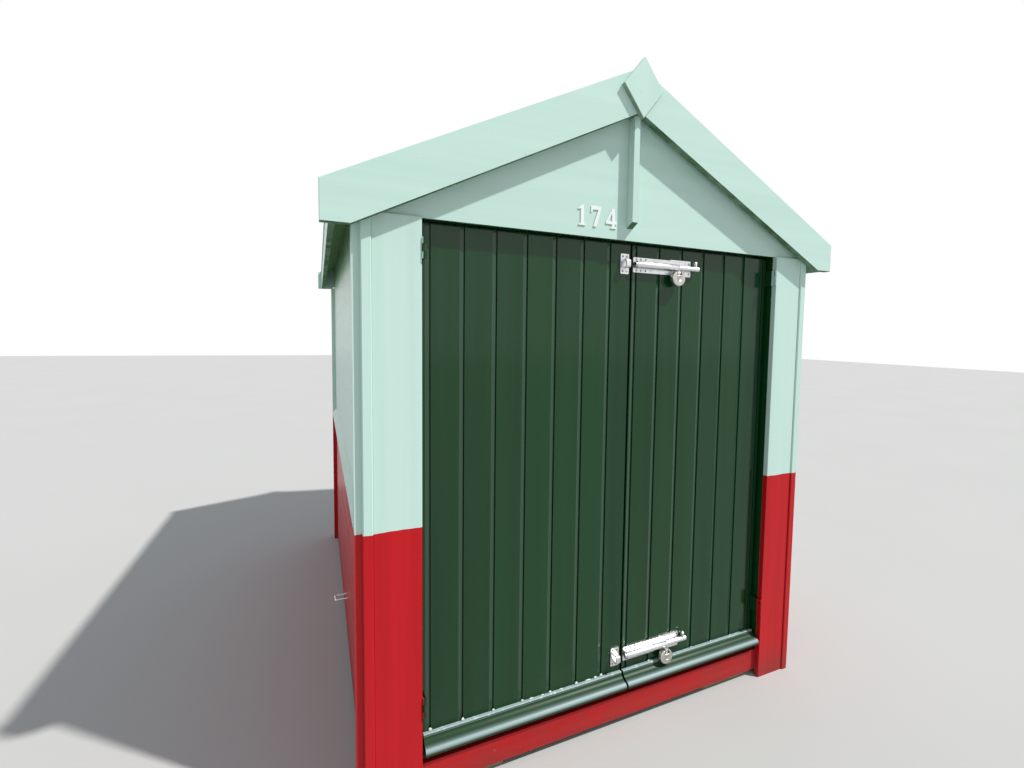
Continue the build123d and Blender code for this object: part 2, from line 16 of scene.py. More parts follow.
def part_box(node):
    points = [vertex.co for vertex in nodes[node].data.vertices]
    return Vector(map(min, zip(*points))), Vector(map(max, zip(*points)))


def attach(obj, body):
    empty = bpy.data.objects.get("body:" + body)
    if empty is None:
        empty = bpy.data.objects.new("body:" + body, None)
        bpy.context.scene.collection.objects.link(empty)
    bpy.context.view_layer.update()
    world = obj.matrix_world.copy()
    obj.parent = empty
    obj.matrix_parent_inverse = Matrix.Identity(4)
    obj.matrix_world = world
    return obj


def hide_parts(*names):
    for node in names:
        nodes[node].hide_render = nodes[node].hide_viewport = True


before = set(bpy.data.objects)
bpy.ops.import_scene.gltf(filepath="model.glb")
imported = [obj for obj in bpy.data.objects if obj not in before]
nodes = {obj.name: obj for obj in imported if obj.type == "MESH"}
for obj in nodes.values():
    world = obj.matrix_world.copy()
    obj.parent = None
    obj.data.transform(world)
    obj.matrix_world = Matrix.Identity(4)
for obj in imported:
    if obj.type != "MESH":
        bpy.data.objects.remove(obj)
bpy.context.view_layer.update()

# %% [markdown]
# ## The places that the pieces share
# The painter's line, the face of the leaves and the eaves are read from the frame, so that each
# dressed piece sits on what really carries it. The names are the ones a joiner would use.

# %% Read the places from the frame
RED_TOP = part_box("left_lower_boards")[1].z
BOARDS_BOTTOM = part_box("left_lower_boards")[0].z
FRONT_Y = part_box("left_post_board")[0].y
GABLE_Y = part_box("gable_panel")[0].y
BARGE_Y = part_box("front_left_bargeboard")[0].y
LEAF_FACE_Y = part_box("left_weather_bar")[1].y
REAR_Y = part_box("rear_lower_boards")[1].y
HEAD_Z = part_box("left_post_board")[1].z
SIDE_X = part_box("right_lower_boards")[1].x
OPENING_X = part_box("right_post_board")[0].x
EAVE_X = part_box("right_roof_deck")[1].x
print("paint line", round(RED_TOP, 3), "leaf face", round(LEAF_FACE_Y, 3), "head", round(HEAD_Z, 3))

# %% [markdown]
# ## Camera
# The photograph was taken with a phone's wide lens from about eye height, standing to the left of
# the hut and turned to the right. The optical centre of the picture isn't in its middle, so the
# camera has a small shift. The place and the angles come from a fit to about sixty measured points.

# %% Place the camera
PICTURE_WIDTH, PICTURE_HEIGHT = 1024.0, 768.0
FOCAL_PIXELS = 502.344
CENTRE_PIXEL_X, CENTRE_PIXEL_Y = 556.986, 367.611
EYE = (-1.0260, -2.7742, 1.5311)
TURN_DEGREES, TILT_DEGREES, ROLL_DEGREES = 25.4477, -3.9242, 0.9779

camera_data = bpy.data.cameras.new("camera")
camera_data.sensor_fit = "HORIZONTAL"
camera_data.sensor_width = 36.0
camera_data.lens = FOCAL_PIXELS * camera_data.sensor_width / PICTURE_WIDTH
camera_data.shift_x = (0.5 * PICTURE_WIDTH - CENTRE_PIXEL_X) / PICTURE_WIDTH
camera_data.shift_y = (CENTRE_PIXEL_Y - 0.5 * PICTURE_HEIGHT) / PICTURE_WIDTH
camera = bpy.data.objects.new("camera", camera_data)
bpy.context.scene.collection.objects.link(camera)
yaw, tilt, roll = (math.radians(angle) for angle in (TURN_DEGREES, TILT_DEGREES, ROLL_DEGREES))
forward = Vector((math.sin(yaw) * math.cos(tilt), math.cos(yaw) * math.cos(tilt), math.sin(tilt)))
level = Vector((math.cos(yaw), -math.sin(yaw), 0.0))
upright = level.cross(forward)
right = math.cos(roll) * level + math.sin(roll) * upright
up = math.cos(roll) * upright - math.sin(roll) * level
turned = Matrix((right, up, -forward)).transposed().to_4x4()
camera.matrix_world = Matrix.Translation(EYE) @ turned
bpy.context.scene.camera = camera
print("camera at", [round(c, 3) for c in camera.location], "lens", round(camera_data.lens, 2), "mm")

# %% [markdown]
# ## A small toolbox for shader nodes
# A finish is a chain of small steps: a noise is made, its range is spread, two masks are combined,
# and a colour is blended over another by the mask. Each step is one node, and these helpers place
# the node and link it, so that the finishes below read as a painter would describe them.

# %% Helpers that place one node
def add_node(tree, kind, **settings):
    """A node of that kind. Each setting goes to the node, or else to its input socket of that name."""
    node = tree.nodes.new(kind)
    for key, value in settings.items():
        socket = key.replace("_", " ").title()
        if hasattr(node, key):
            setattr(node, key, value)
        elif socket in node.inputs:
            node.inputs[socket].default_value = value
        else:
            raise KeyError(f"{kind} has no {key}")
    return node


def feed(tree, value, socket):
    """Gives an input socket its value: another node's output, a colour or a number."""
    if isinstance(value, bpy.types.NodeSocket):
        tree.links.new(value, socket)
    elif isinstance(value, tuple):
        socket.default_value = (*value, 1.0)
    else:
        socket.default_value = value


def combine(tree, operation, *values):
    """One math node on its values, each a socket or a number."""
    node = add_node(tree, "ShaderNodeMath", operation=operation)
    for value, socket in zip(values, node.inputs):
        feed(tree, value, socket)
    return node.outputs[0]


def combine_vectors(tree, operation, first, second):
    """One vector math node on two sockets."""
    node = add_node(tree, "ShaderNodeVectorMath", operation=operation)
    tree.links.new(first, node.inputs[0])
    tree.links.new(second, node.inputs[1])
    return node.outputs[0]


def spread(tree, value, low, high, to_low=0.0, to_high=1.0):
    """Maps low..high to to_low..to_high and clamps."""
    node = add_node(tree, "ShaderNodeMapRange", from_min=low, from_max=high, to_min=to_low, to_max=to_high)
    tree.links.new(value, node.inputs["Value"])
    return node.outputs["Result"]


def blend_colours(tree, mask, first, second, share=1.0):
    """first where the mask is 0 and second where it is 1. Each may be a socket or a colour."""
    node = add_node(tree, "ShaderNodeMix", data_type="RGBA")
    if share != 1.0:
        mask = spread(tree, mask, 0.0, 1.0, 0.0, share)
    tree.links.new(mask, node.inputs[0])
    feed(tree, first, node.inputs[6])
    feed(tree, second, node.inputs[7])
    return node.outputs[2]


# %% Helpers that read places and patterns
def noise(tree, place, scale, detail, roughness=0.5):
    """The value of a cloudy noise."""
    node = add_node(tree, "ShaderNodeTexNoise", detail=detail, roughness=roughness)
    tree.links.new(place, node.inputs["Vector"])
    feed(tree, scale, node.inputs["Scale"])
    return node.outputs["Fac"]


def cells(tree, place, scale):
    """Small cells: three random values of each cell, and the distance to its middle."""
    texture = add_node(tree, "ShaderNodeTexVoronoi", scale=scale)
    tree.links.new(place, texture.inputs["Vector"])
    values = add_node(tree, "ShaderNodeSeparateColor")
    tree.links.new(texture.outputs["Color"], values.inputs[0])
    return values.outputs, texture.outputs["Distance"]


def axes(tree, vector):
    """The x, y and z of a vector, as sockets named X, Y and Z."""
    parts = add_node(tree, "ShaderNodeSeparateXYZ")
    tree.links.new(vector, parts.inputs[0])
    return parts.outputs


def piece_axes(tree, output):
    """The x, y and z of the piece's own coordinates (Object) or of its own normals (Normal)."""
    return axes(tree, add_node(tree, "ShaderNodeTexCoord").outputs[output])


print("node helpers ready")

# %% [markdown]
# ## Paint effects as node groups
# Brushed gloss paint isn't one flat colour. The coat is a little thicker and thinner along the
# brush strokes, it is dustier near the ground, it carries small scuffs, and under the edges it is
# painted dark green: painted shade, with some growth. Several finishes of this hut share those
# effects, so each effect is a node group with named sockets, built once.

# %% Helper for node groups
def new_group(name, inputs, outputs):
    """An empty node group, the sockets given to it and the sockets of its results."""
    group = bpy.data.node_groups.new(name, "ShaderNodeTree")
    for label, default in inputs.items():
        kind = "NodeSocketFloat" if isinstance(default, float) else "NodeSocketVector"
        socket = group.interface.new_socket(name=label, in_out="INPUT", socket_type=kind)
        if default is not None:
            socket.default_value = default
    for label in outputs:
        group.interface.new_socket(name=label, in_out="OUTPUT", socket_type="NodeSocketFloat")
    print("group", name, "from", list(inputs), "to", list(outputs))
    return group, group.nodes.new("NodeGroupInput").outputs, group.nodes.new("NodeGroupOutput").inputs


# %% Brush strokes
def build_brush_strokes():
    """Long soft streaks along one direction, as a brush leaves them in gloss paint."""
    inputs = {"Vector": None, "Stretch": (1.0, 1.0, 1.0)}
    group, given, result = new_group("brush_strokes", inputs, ("Fine", "Broad"))
    stretched = combine_vectors(group, "MULTIPLY", given["Vector"], given["Stretch"])
    group.links.new(noise(group, stretched, 1.0, 3.0, 0.6), result["Fine"])
    group.links.new(noise(group, stretched, 0.11, 4.0, 0.55), result["Broad"])
    return group


brush_strokes = build_brush_strokes()


# %% Grime that rises from the ground
def build_ground_grime():
    """A mask that is 1 at the ground and fades out at a height, broken up by noise."""
    group, given, result = new_group("ground_grime", {"Vector": None, "Height": 0.3}, ("Mask",))
    ratio = combine(group, "DIVIDE", axes(group, given["Vector"])["Z"], given["Height"])
    blotches = noise(group, given["Vector"], 9.0, 6.0, 0.65)
    mask = spread(group, combine(group, "SUBTRACT", blotches, ratio), -0.15, 0.6)
    group.links.new(mask, result["Mask"])
    return group


ground_grime = build_ground_grime()


# %% Small chips and scuffs
def build_paint_chips():
    """A mask of small sharp-edged spots. Amount is the share of the surface that they take."""
    inputs = {"Vector": None, "Scale": 60.0, "Amount": 0.1}
    group, given, result = new_group("paint_chips", inputs, ("Mask",))
    spots = noise(group, given["Vector"], given["Scale"], 5.0, 0.6)
    limit = combine(group, "MULTIPLY_ADD", given["Amount"], -0.4, 0.72)
    mask = spread(group, combine(group, "SUBTRACT", spots, limit), 0.0, 0.02)
    group.links.new(mask, result["Mask"])
    return group


paint_chips = build_paint_chips()


# %% Painted shade and growth under the edges
def build_underside_shade_and_growth():
    """A mask for faces that look down, for the painted shade under things and for the damp and algae that
    stay longest there, slightly patchy.
    """
    group, given, result = new_group("underside_shade_and_growth", {"Vector": None, "Normal": None}, ("Mask",))
    down = spread(group, axes(group, given["Normal"])["Z"], -0.15, -0.75)
    patches = spread(group, noise(group, given["Vector"], 14.0, 5.0, 0.6), 0.3, 0.6, 0.72, 1.0)
    group.links.new(combine(group, "MULTIPLY", down, patches), result["Mask"])
    return group


underside_shade_and_growth = build_underside_shade_and_growth()


# %% Wood grain
def build_wood_grain():
    """Grain stretched along the board: broad rings and fine fibres."""
    inputs = {"Vector": None, "Stretch": (1.0, 1.0, 1.0)}
    group, given, result = new_group("wood_grain", inputs, ("Rings", "Fibres"))
    stretched = combine_vectors(group, "MULTIPLY", given["Vector"], given["Stretch"])
    warp = add_node(group, "ShaderNodeTexNoise", scale=0.35, detail=2.0)
    group.links.new(stretched, warp.inputs["Vector"])
    push = add_node(group, "ShaderNodeVectorMath", operation="SCALE", scale=2.5)
    group.links.new(warp.outputs["Color"], push.inputs[0])
    rings = add_node(group, "ShaderNodeTexWave", scale=0.5, distortion=3.0, detail=3.0)
    group.links.new(combine_vectors(group, "ADD", stretched, push.outputs[0]), rings.inputs["Vector"])
    group.links.new(rings.outputs["Fac"], result["Rings"])
    group.links.new(noise(group, stretched, 6.0, 4.0, 0.7), result["Fibres"])
    return group


wood_grain = build_wood_grain()

# %% [markdown]
# ## How every material starts and ends
# Each material has one Principled shader, which takes a colour, a roughness and a small bump. Its
# coordinates are the piece's own, in metres, so grain and wear stay put when a door leaf swings.
# Sawn softwood is wanted twice, for bare timber and for the unpainted inside of the walls.

# %% Helpers for materials
def start_material(name, **settings):
    """A material with a Principled shader and the coordinates of the piece."""
    material = bpy.data.materials.new(name)
    material.use_nodes = True
    tree = material.node_tree
    shader = next(n for n in tree.nodes if n.type == "BSDF_PRINCIPLED")
    for key, value in settings.items():
        shader.inputs[key.replace("_", " ")].default_value = value
    place = add_node(tree, "ShaderNodeTexCoord").outputs["Object"]
    return material, tree, shader, place


def end_material(tree, shader, colour, rough=None, height=None, strength=0.0, depth=0.0):
    """Feeds the shader: its colour, its roughness, and a bump from a height, depth metres deep."""
    tree.links.new(colour, shader.inputs["Base Color"])
    if rough:
        tree.links.new(rough, shader.inputs["Roughness"])
    if height:
        bump = add_node(tree, "ShaderNodeBump", strength=strength, distance=depth)
        tree.links.new(height, bump.inputs["Height"])
        tree.links.new(bump.outputs["Normal"], shader.inputs["Normal"])


def use_group(tree, group, place, **values):
    """Places a node group, gives it the coordinates and its own values, and hands back its results."""
    node = tree.nodes.new("ShaderNodeGroup")
    node.node_tree = group
    tree.links.new(place, node.inputs["Vector"])
    for key, value in values.items():
        node.inputs[key].default_value = value
    return node.outputs


def shade_and_growth_mask(tree, place):
    """The group of painted underside shade and growth, fed with the normals of the piece."""
    mask = use_group(tree, underside_shade_and_growth, place)["Mask"]
    facing = add_node(tree, "ShaderNodeTexCoord").outputs["Normal"]
    tree.links.new(facing, mask.node.inputs["Normal"])
    return mask


SUMMER_WOOD, WINTER_WOOD, FRAYED_WOOD = (0.48, 0.335, 0.195), (0.30, 0.185, 0.095), (0.56, 0.43, 0.28)


def sawn_wood(tree, place, stretch, tint=SUMMER_WOOD, dark=WINTER_WOOD):
    """Colour and fibres of sawn softwood, with the grain along one direction."""
    grain = use_group(tree, wood_grain, place, Stretch=stretch)
    colour = blend_colours(tree, spread(tree, grain["Rings"], 0.2, 0.9), tint, dark, share=0.55)
    fibres = spread(tree, grain["Fibres"], 0.35, 0.75)
    return blend_colours(tree, fibres, colour, FRAYED_WOOD, share=0.35), fibres


print("material helpers ready")

# %% [markdown]
# ## Mint and red gloss paint
# The hut is painted in two colours that meet at one level line. Corner boards and front boards
# cross that line, so their material picks the colour by height: a painter cuts the line by hand,
# which leaves it a millimetre uneven. Strokes follow the length of each board, so the material is
# made for upright boards and for level ones. What faces the ground is painted a dark matt green:
# painted shade, with some green growth. The backs of the fascias get a painted green shade too,
# partly growth, and under the eaves the side walls get painted green shade and growth in streaks.
# The brush never went inside the hut, so the walls' inner faces are bare wood.

# %% Colours of the coats, of dirt and of growth
MINT = ((0.560, 0.755, 0.680), (0.520, 0.720, 0.640))
RED = ((0.530, 0.008, 0.013), (0.440, 0.005, 0.009))
GREEN = ((0.0043, 0.0470, 0.0112), (0.0030, 0.0358, 0.0087))
WHITE = ((0.86, 0.90, 0.90), (0.80, 0.86, 0.85))
SPLASHED_DIRT, OLD_COAT = (0.085, 0.060, 0.045), (0.30, 0.27, 0.22)
# Painted shade colours tinted green by some growth: for faces that look down, the backs of the fascias and
# the walls under the eaves.
UNDERSIDE_SHADE_GREEN, FASCIA_BACK_SHADE_GREEN, EAVE_SHADE_STREAKS = (0.053, 0.117, 0.043), (0.180, 0.340, 0.120), (0.270, 0.430, 0.190)
ROOM_WOOD, ROOM_WOOD_DARK = (0.38, 0.27, 0.165), (0.25, 0.165, 0.09)
UPRIGHT, LEVEL_X, LEVEL_Y = (170.0, 170.0, 5.0), (5.0, 170.0, 170.0), (170.0, 5.0, 170.0)
print("coats: the plain colour and the deeper one of the brush strokes", MINT, RED, GREEN, WHITE)


# %% Masks of the house paint
def painters_line(tree, place):
    """1 below the line between mint and red, which wavers by about a millimetre."""
    wavering = spread(tree, noise(tree, place, 28.0, 2.0), 0.3, 0.7, -0.0012, 0.0012)
    height = combine(tree, "ADD", piece_axes(tree, "Object")["Z"], wavering)
    return spread(tree, height, RED_TOP - 0.0003, RED_TOP + 0.0003, 1.0, 0.0)


def near_middle(tree, reach):
    """1 where the piece is nearer to the middle of the hut than reach, to the left and right."""
    return combine(tree, "LESS_THAN", combine(tree, "ABSOLUTE", piece_axes(tree, "Object")["X"]), reach)


def room_side(tree, room_from, board=0.017):
    """1 for what looks into the room, behind the place room_from and inside the walls' boards."""
    depth = piece_axes(tree, "Object")["Y"]
    before = combine(tree, "LESS_THAN", depth, REAR_Y - board)
    behind = combine(tree, "GREATER_THAN", depth, room_from)
    across = combine(tree, "MULTIPLY", near_middle(tree, SIDE_X - board), before)
    return combine(tree, "MULTIPLY", across, behind)


def eave_shade_and_streaks(tree, place, eave):
    """Streaks of painted green shade, partly growth, that run down the wall from the height eave and fade
    out below it.
    """
    runs = use_group(tree, brush_strokes, place, Stretch=(60.0, 60.0, 4.0))["Broad"]
    under = spread(tree, piece_axes(tree, "Object")["Z"], eave - 0.42, eave - 0.02)
    return combine(tree, "MULTIPLY", under, spread(tree, runs, 0.35, 0.60, 0.45, 1.0))


# %% How a house paint is built up
def house_paint(
    name, stretch, coat, lower_coat=None, chips=0.02,
    green_past=None, room_from=None, shaded_backs_within=None, shaded_and_streaked_to=None
):
    """Brushed gloss paint, with lower_coat under the painter's line.

    Past green_past (an axis and a place on it) it is door green. On what looks into the room,
    behind the place room_from, the boards were never painted. Faces nearer to the middle than
    shaded_backs_within, the backs of the fascias, get a painted green shade, partly growth, and
    under the eaves, whose height is shaded_and_streaked_to, streaks of painted green shade, partly
    growth, run down the wall. Faces that look down get a dark painted shade with some growth.
    """
    material, tree, shader, place = start_material(name, Specular_IOR_Level=0.22)
    strokes = use_group(tree, brush_strokes, place, Stretch=stretch)
    streaks = spread(tree, strokes["Broad"], 0.35, 0.68)
    colour = blend_colours(tree, streaks, *coat)
    if lower_coat:
        below = blend_colours(tree, streaks, *lower_coat)
        colour = blend_colours(tree, painters_line(tree, place), colour, below)
    if green_past:
        axis, limit = green_past
        past = combine(tree, "GREATER_THAN", piece_axes(tree, "Object")[axis], limit)
        colour = blend_colours(tree, past, colour, GREEN[0])
    dirt = use_group(tree, ground_grime, place, Height=0.22)["Mask"]
    colour = blend_colours(tree, dirt, colour, SPLASHED_DIRT, share=0.45)
    shade_and_growth = shade_and_growth_mask(tree, place)
    # Faces that look down are painted dark green: painted shade, with some growth.
    colour = blend_colours(tree, shade_and_growth, colour, UNDERSIDE_SHADE_GREEN)
    if chips:
        marks = use_group(tree, paint_chips, place, Scale=38.0, Amount=chips)["Mask"]
        colour = blend_colours(tree, marks, colour, OLD_COAT, share=0.35)
    # The backs of the fascias get a painted green shade, partly growth.
    if shaded_backs_within:
        patches = spread(tree, strokes["Broad"], 0.3, 0.7, 0.65, 0.9)
        backs = combine(tree, "MULTIPLY", near_middle(tree, shaded_backs_within), patches)
        colour = blend_colours(tree, backs, colour, FASCIA_BACK_SHADE_GREEN)
    # Under the eaves the wall is painted greener and darker in streaks: painted shade, partly growth.
    if shaded_and_streaked_to:
        runs = eave_shade_and_streaks(tree, place, shaded_and_streaked_to)
        colour = blend_colours(tree, runs, colour, EAVE_SHADE_STREAKS, share=0.80)
    rough = spread(tree, strokes["Fine"], 0.25, 0.75, 0.26, 0.40)
    rough = combine(tree, "MULTIPLY_ADD", dirt, 0.25, rough)
    rough = combine(tree, "MAXIMUM", rough, spread(tree, shade_and_growth, 0.0, 0.7))
    if room_from:
        room = room_side(tree, room_from)
        along = tuple(0.35 * s for s in stretch)
        wood = sawn_wood(tree, place, along, tint=ROOM_WOOD, dark=ROOM_WOOD_DARK)[0]
        colour = blend_colours(tree, room, colour, wood)
        rough = combine(tree, "MAXIMUM", rough, combine(tree, "MULTIPLY", room, 0.78))
    relief = combine(tree, "ADD", strokes["Fine"], strokes["Broad"])
    end_material(tree, shader, colour, rough, relief, strength=0.16, depth=0.0009)
    return material


# %% Mix the house paints
behind_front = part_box("left_post_board")[1].y - 0.0005
fascia_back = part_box("fascias")[1].x - 0.0175
eave_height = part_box("left_upper_panel")[1].z
mint_upright = house_paint("mint_paint_upright", UPRIGHT, MINT)
figure_white = house_paint("figure_paint", UPRIGHT, WHITE, chips=0.03)
mint_level_x = house_paint("mint_paint_level_x", LEVEL_X, MINT, room_from=behind_front)
mint_level_y = house_paint(
    "mint_paint_level_y", LEVEL_Y, MINT, room_from=behind_front, shaded_and_streaked_to=eave_height
)
two_colour = house_paint("two_colour_paint", UPRIGHT, MINT, RED, chips=0.0, room_from=behind_front)
fascia_mint = house_paint("fascia_paint", LEVEL_Y, MINT, shaded_backs_within=fascia_back)
red_level_x = house_paint("red_paint_level_x", LEVEL_X, RED, room_from=LEAF_FACE_Y)
red_level_y = house_paint("red_paint_level_y", LEVEL_Y, RED, room_from=LEAF_FACE_Y)
print("house paints", [m.name for m in bpy.data.materials if "paint" in m.name])

# %% [markdown]
# ## Paint on the hinges
# Nobody takes hinges off to paint a hut. On the left post the plate was painted over with the post
# and the knuckles with the doors. On the right both hinge halves are the post's colour in front of
# the reveal and door green inside it.

# %% Mix the hinge paints
left_hinge_paint = house_paint(
    "left_hinge_paint", UPRIGHT, MINT, RED, green_past=("X", 0.0027 - OPENING_X)
)
right_hinge_paint = house_paint(
    "right_hinge_paint", UPRIGHT, MINT, RED, green_past=("Y", FRONT_Y + 0.016)
)
print("hinge paints", left_hinge_paint.name, right_hinge_paint.name)

# %% [markdown]
# ## Bottle-green gloss on the doors
# The leaves have the glossiest finish of the hut. The paint has flowed out before it dried, so the
# roughness is low, and the surface is only slightly wavy along the boards. A separate version for
# the weather bars is duller, with a pale painted sky reflection and highlight on the bead and on the
# nose, partly chalky bloom where shoes and rain wear it, and with chips on its upper ledge.

# %% Mix the door paint
# The cove colour is a painted highlight, and the bloom colour a painted sheen with some chalky wear.
COVE_HIGHLIGHT, BOARD_DUST = (0.026, 0.068, 0.038), (0.16, 0.15, 0.12)
CREST_SHEEN_AND_BLOOM, CHIPPED_LEDGE = (0.36, 0.46, 0.47), (0.54, 0.62, 0.60)


def crest_sheen_and_wear(tree, strokes, ledge, lip):
    """Painted sky reflection and highlight, partly chalky wear, on the bar's top bead and its nose, where
    they face up or forward, in patches.
    """
    at = piece_axes(tree, "Object")
    top_bead = spread(tree, at["Z"], ledge - 0.0065, ledge - 0.0035)
    nose = combine(tree, "POWER", spread(tree, at["Y"], lip + 0.026, lip), 3.0)
    upward = spread(tree, piece_axes(tree, "Normal")["Z"], -0.10, 0.60)
    upward = combine(tree, "MULTIPLY", combine(tree, "MAXIMUM", top_bead, nose), upward)
    return combine(tree, "MULTIPLY", upward, spread(tree, strokes["Broad"], 0.3, 0.6, 0.75, 1.0))


def ledge_chips(tree, place, ledge):
    """Chips on what lies at the height of the bar's ledge."""
    marks = use_group(tree, paint_chips, place, Scale=70.0, Amount=0.35)["Mask"]
    near = spread(tree, piece_axes(tree, "Object")["Z"], ledge - 0.004, ledge)
    return combine(tree, "MULTIPLY", marks, near)


def door_paint(name, stretch, ledge=None, lip=None):
    """Deep green gloss with a painted highlight on the coves that face the sun side. A weather bar, given
    its ledge and lip, is worn and duller, with painted sheen on its crests.
    """
    material, tree, shader, place = start_material(name, Specular_IOR_Level=0.15 if ledge else 0.42)
    strokes = use_group(tree, brush_strokes, place, Stretch=stretch)
    colour = blend_colours(tree, spread(tree, strokes["Broad"], 0.35, 0.65), *GREEN)
    # Coves that face the sun side are painted lighter: a painted highlight.
    coves = spread(tree, piece_axes(tree, "Normal")["X"], 0.12, 0.20)
    colour = blend_colours(tree, coves, colour, COVE_HIGHLIGHT, share=0.85)
    if ledge:
        # Pale painted sky reflection and highlight on the crests, partly chalky wear.
        sheen_and_bloom = crest_sheen_and_wear(tree, strokes, ledge, lip)
        colour = blend_colours(tree, sheen_and_bloom, colour, CREST_SHEEN_AND_BLOOM, share=0.9)
    dust = use_group(tree, ground_grime, place, Height=0.42)["Mask"]
    colour = blend_colours(tree, dust, colour, BOARD_DUST, share=0.10)
    if ledge:
        colour = blend_colours(tree, ledge_chips(tree, place, ledge), colour, CHIPPED_LEDGE, share=0.75)
    gloss = (0.30, 0.44) if ledge else (0.10, 0.17)
    rough = spread(tree, strokes["Fine"], 0.3, 0.7, *gloss)
    relief = combine(tree, "ADD", strokes["Fine"], strokes["Broad"])
    end_material(tree, shader, colour, rough, relief, strength=0.10, depth=0.0006)
    return material


green_upright = door_paint("door_green_upright", (120.0, 120.0, 3.0))
green_ledge = door_paint("weather_bar_green", (3.0, 120.0, 120.0), ledge=0.2045, lip=LEAF_FACE_Y - 0.048)
print("door paints", green_upright.name, green_ledge.name)

# %% [markdown]
# ## Bare timber
# The frame of the hut was never painted: it is sawn softwood, with grain that runs along each
# piece. The roof boards are painted only where they stick out past the walls, and where that paint
# looks down it is painted green: painted shade and green reflected light, with some growth. The
# packers lie in the damp, so their wood is a little darker.

# %% Saw the timber
ALONG_X, ALONG_Y, ALONG_Z = (3.0, 60.0, 60.0), (60.0, 3.0, 60.0), (60.0, 60.0, 3.0)
HANDLED_DIRT, SOFFIT_SHADE_GREEN = (0.20, 0.17, 0.13), (0.240, 0.440, 0.160)


def bare_timber(name, stretch, painted_from=None, **tones):
    """Sawn softwood with grain along one direction. Farther out than painted_from it is painted mint, with
    painted green shade and growth where it looks down.
    """
    material, tree, shader, place = start_material(name, Specular_IOR_Level=0.2)
    colour, fibres = sawn_wood(tree, place, stretch, **tones)
    dirt = use_group(tree, ground_grime, place, Height=0.12)["Mask"]
    colour = blend_colours(tree, dirt, colour, HANDLED_DIRT, share=0.35)
    if painted_from:
        paint = blend_colours(tree, fibres, *MINT)
        # Where the painted eave looks down it is painted green: painted shade and green reflected light,
        # with some growth.
        paint = blend_colours(tree, shade_and_growth_mask(tree, place), paint, SOFFIT_SHADE_GREEN, share=0.90)
        colour = blend_colours(tree, near_middle(tree, painted_from), paint, colour)
    rough = spread(tree, fibres, 0.0, 1.0, 0.68, 0.88)
    end_material(tree, shader, colour, rough, fibres, 0.14, 0.0012)
    return material


timber_x = bare_timber("bare_timber_x", ALONG_X)
timber_y = bare_timber("bare_timber_y", ALONG_Y)
timber_z = bare_timber("bare_timber_z", ALONG_Z)
roof_boards = bare_timber("roof_board_timber", ALONG_Y, painted_from=SIDE_X)
weathered_timber = bare_timber("packer_timber", ALONG_X, tint=(0.42, 0.33, 0.19), dark=(0.28, 0.21, 0.12))
print("timbers", timber_x.name, timber_y.name, timber_z.name, roof_boards.name, weathered_timber.name)

# %% [markdown]
# ## Felt and metal
# The roof has mineral felt, a bitumen sheet covered in fine crushed stone: small cells, each with
# its own shade, make the grit. The bolts are bright zinc, whose crystals are cells too, only
# larger, and the padlocks and screws are duller steel.

# %% Make the roof felt
PALE_GRIT, FELT_STAIN = (0.62, 0.72, 0.66), (0.20, 0.25, 0.22)


def mineral_felt(name, colour, dark):
    """Bitumen felt with a coat of fine stone grit and faint stains."""
    material, tree, shader, place = start_material(name, Specular_IOR_Level=0.25)
    grit, distance = cells(tree, place, 620.0)
    colour = blend_colours(tree, grit[0], colour, dark, share=0.55)
    colour = blend_colours(tree, spread(tree, grit[1], 0.80, 1.0), colour, PALE_GRIT, share=0.5)
    stains = spread(tree, noise(tree, place, 3.2, 7.0, 0.62), 0.45, 0.72)
    colour = blend_colours(tree, stains, colour, FELT_STAIN, share=0.30)
    rough = spread(tree, grit[2], 0.0, 1.0, 0.72, 0.95)
    end_material(tree, shader, colour, rough, distance, 0.5, 0.0015)
    return material


slope_felt = mineral_felt("mint_mineral_felt", (0.42, 0.60, 0.52), (0.26, 0.40, 0.34))
cap_felt = mineral_felt("ridge_felt", (0.40, 0.53, 0.48), (0.25, 0.35, 0.31))
print("felts", slope_felt.name, cap_felt.name)


# %% Make the metals
SALT_BLOOM = (0.52, 0.52, 0.50)


def bright_zinc(name, tone, rough_low, rough_high):
    """Zinc plate: pale metal, mottled by its crystals and a little dulled by salt air."""
    material, tree, shader, place = start_material(name, Metallic=1.0)
    crystals = cells(tree, place, 190.0)[0]
    cloud = noise(tree, place, 45.0, 5.0)
    colour = blend_colours(tree, crystals[0], tone, tuple(0.86 * c for c in tone), share=0.5)
    colour = blend_colours(tree, spread(tree, cloud, 0.50, 0.70), colour, SALT_BLOOM, share=0.4)
    rough = spread(tree, cloud, 0.3, 0.7, rough_low, rough_high)
    end_material(tree, shader, colour, rough, cloud, 0.08, 0.0004)
    return material


def painted_keyhole_shade():
    """Painted shade of the inside of a keyhole: near black, with a little rust."""
    material, tree, shader, place = start_material("keyway_dark", Specular_IOR_Level=0.2)
    rust = noise(tree, place, 400.0, 3.0)
    colour = blend_colours(tree, rust, (0.012, 0.012, 0.012), (0.05, 0.032, 0.02))
    end_material(tree, shader, colour, spread(tree, rust, 0.0, 1.0, 0.6, 0.9))
    return material


zinc = bright_zinc("bright_zinc", (0.80, 0.81, 0.83), 0.24, 0.42)
lock_steel = bright_zinc("padlock_steel", (0.62, 0.60, 0.56), 0.22, 0.38)
screw_zinc = bright_zinc("screw_zinc", (0.34, 0.34, 0.33), 0.35, 0.55)
keyway_dark = painted_keyhole_shade()
print("metals", zinc.name, lock_steel.name, screw_zinc.name, keyway_dark.name)

# %% [markdown]
# ## Dress the CAD pieces that keep their shape
# Most planks and plates are right as they are. They only need the finish and a slightly rounded
# edge, because sawn and painted timber never has a razor edge. A weld joins the split corners of
# the imported mesh, and a bevel modifier rounds them without touching the CAD mesh itself.

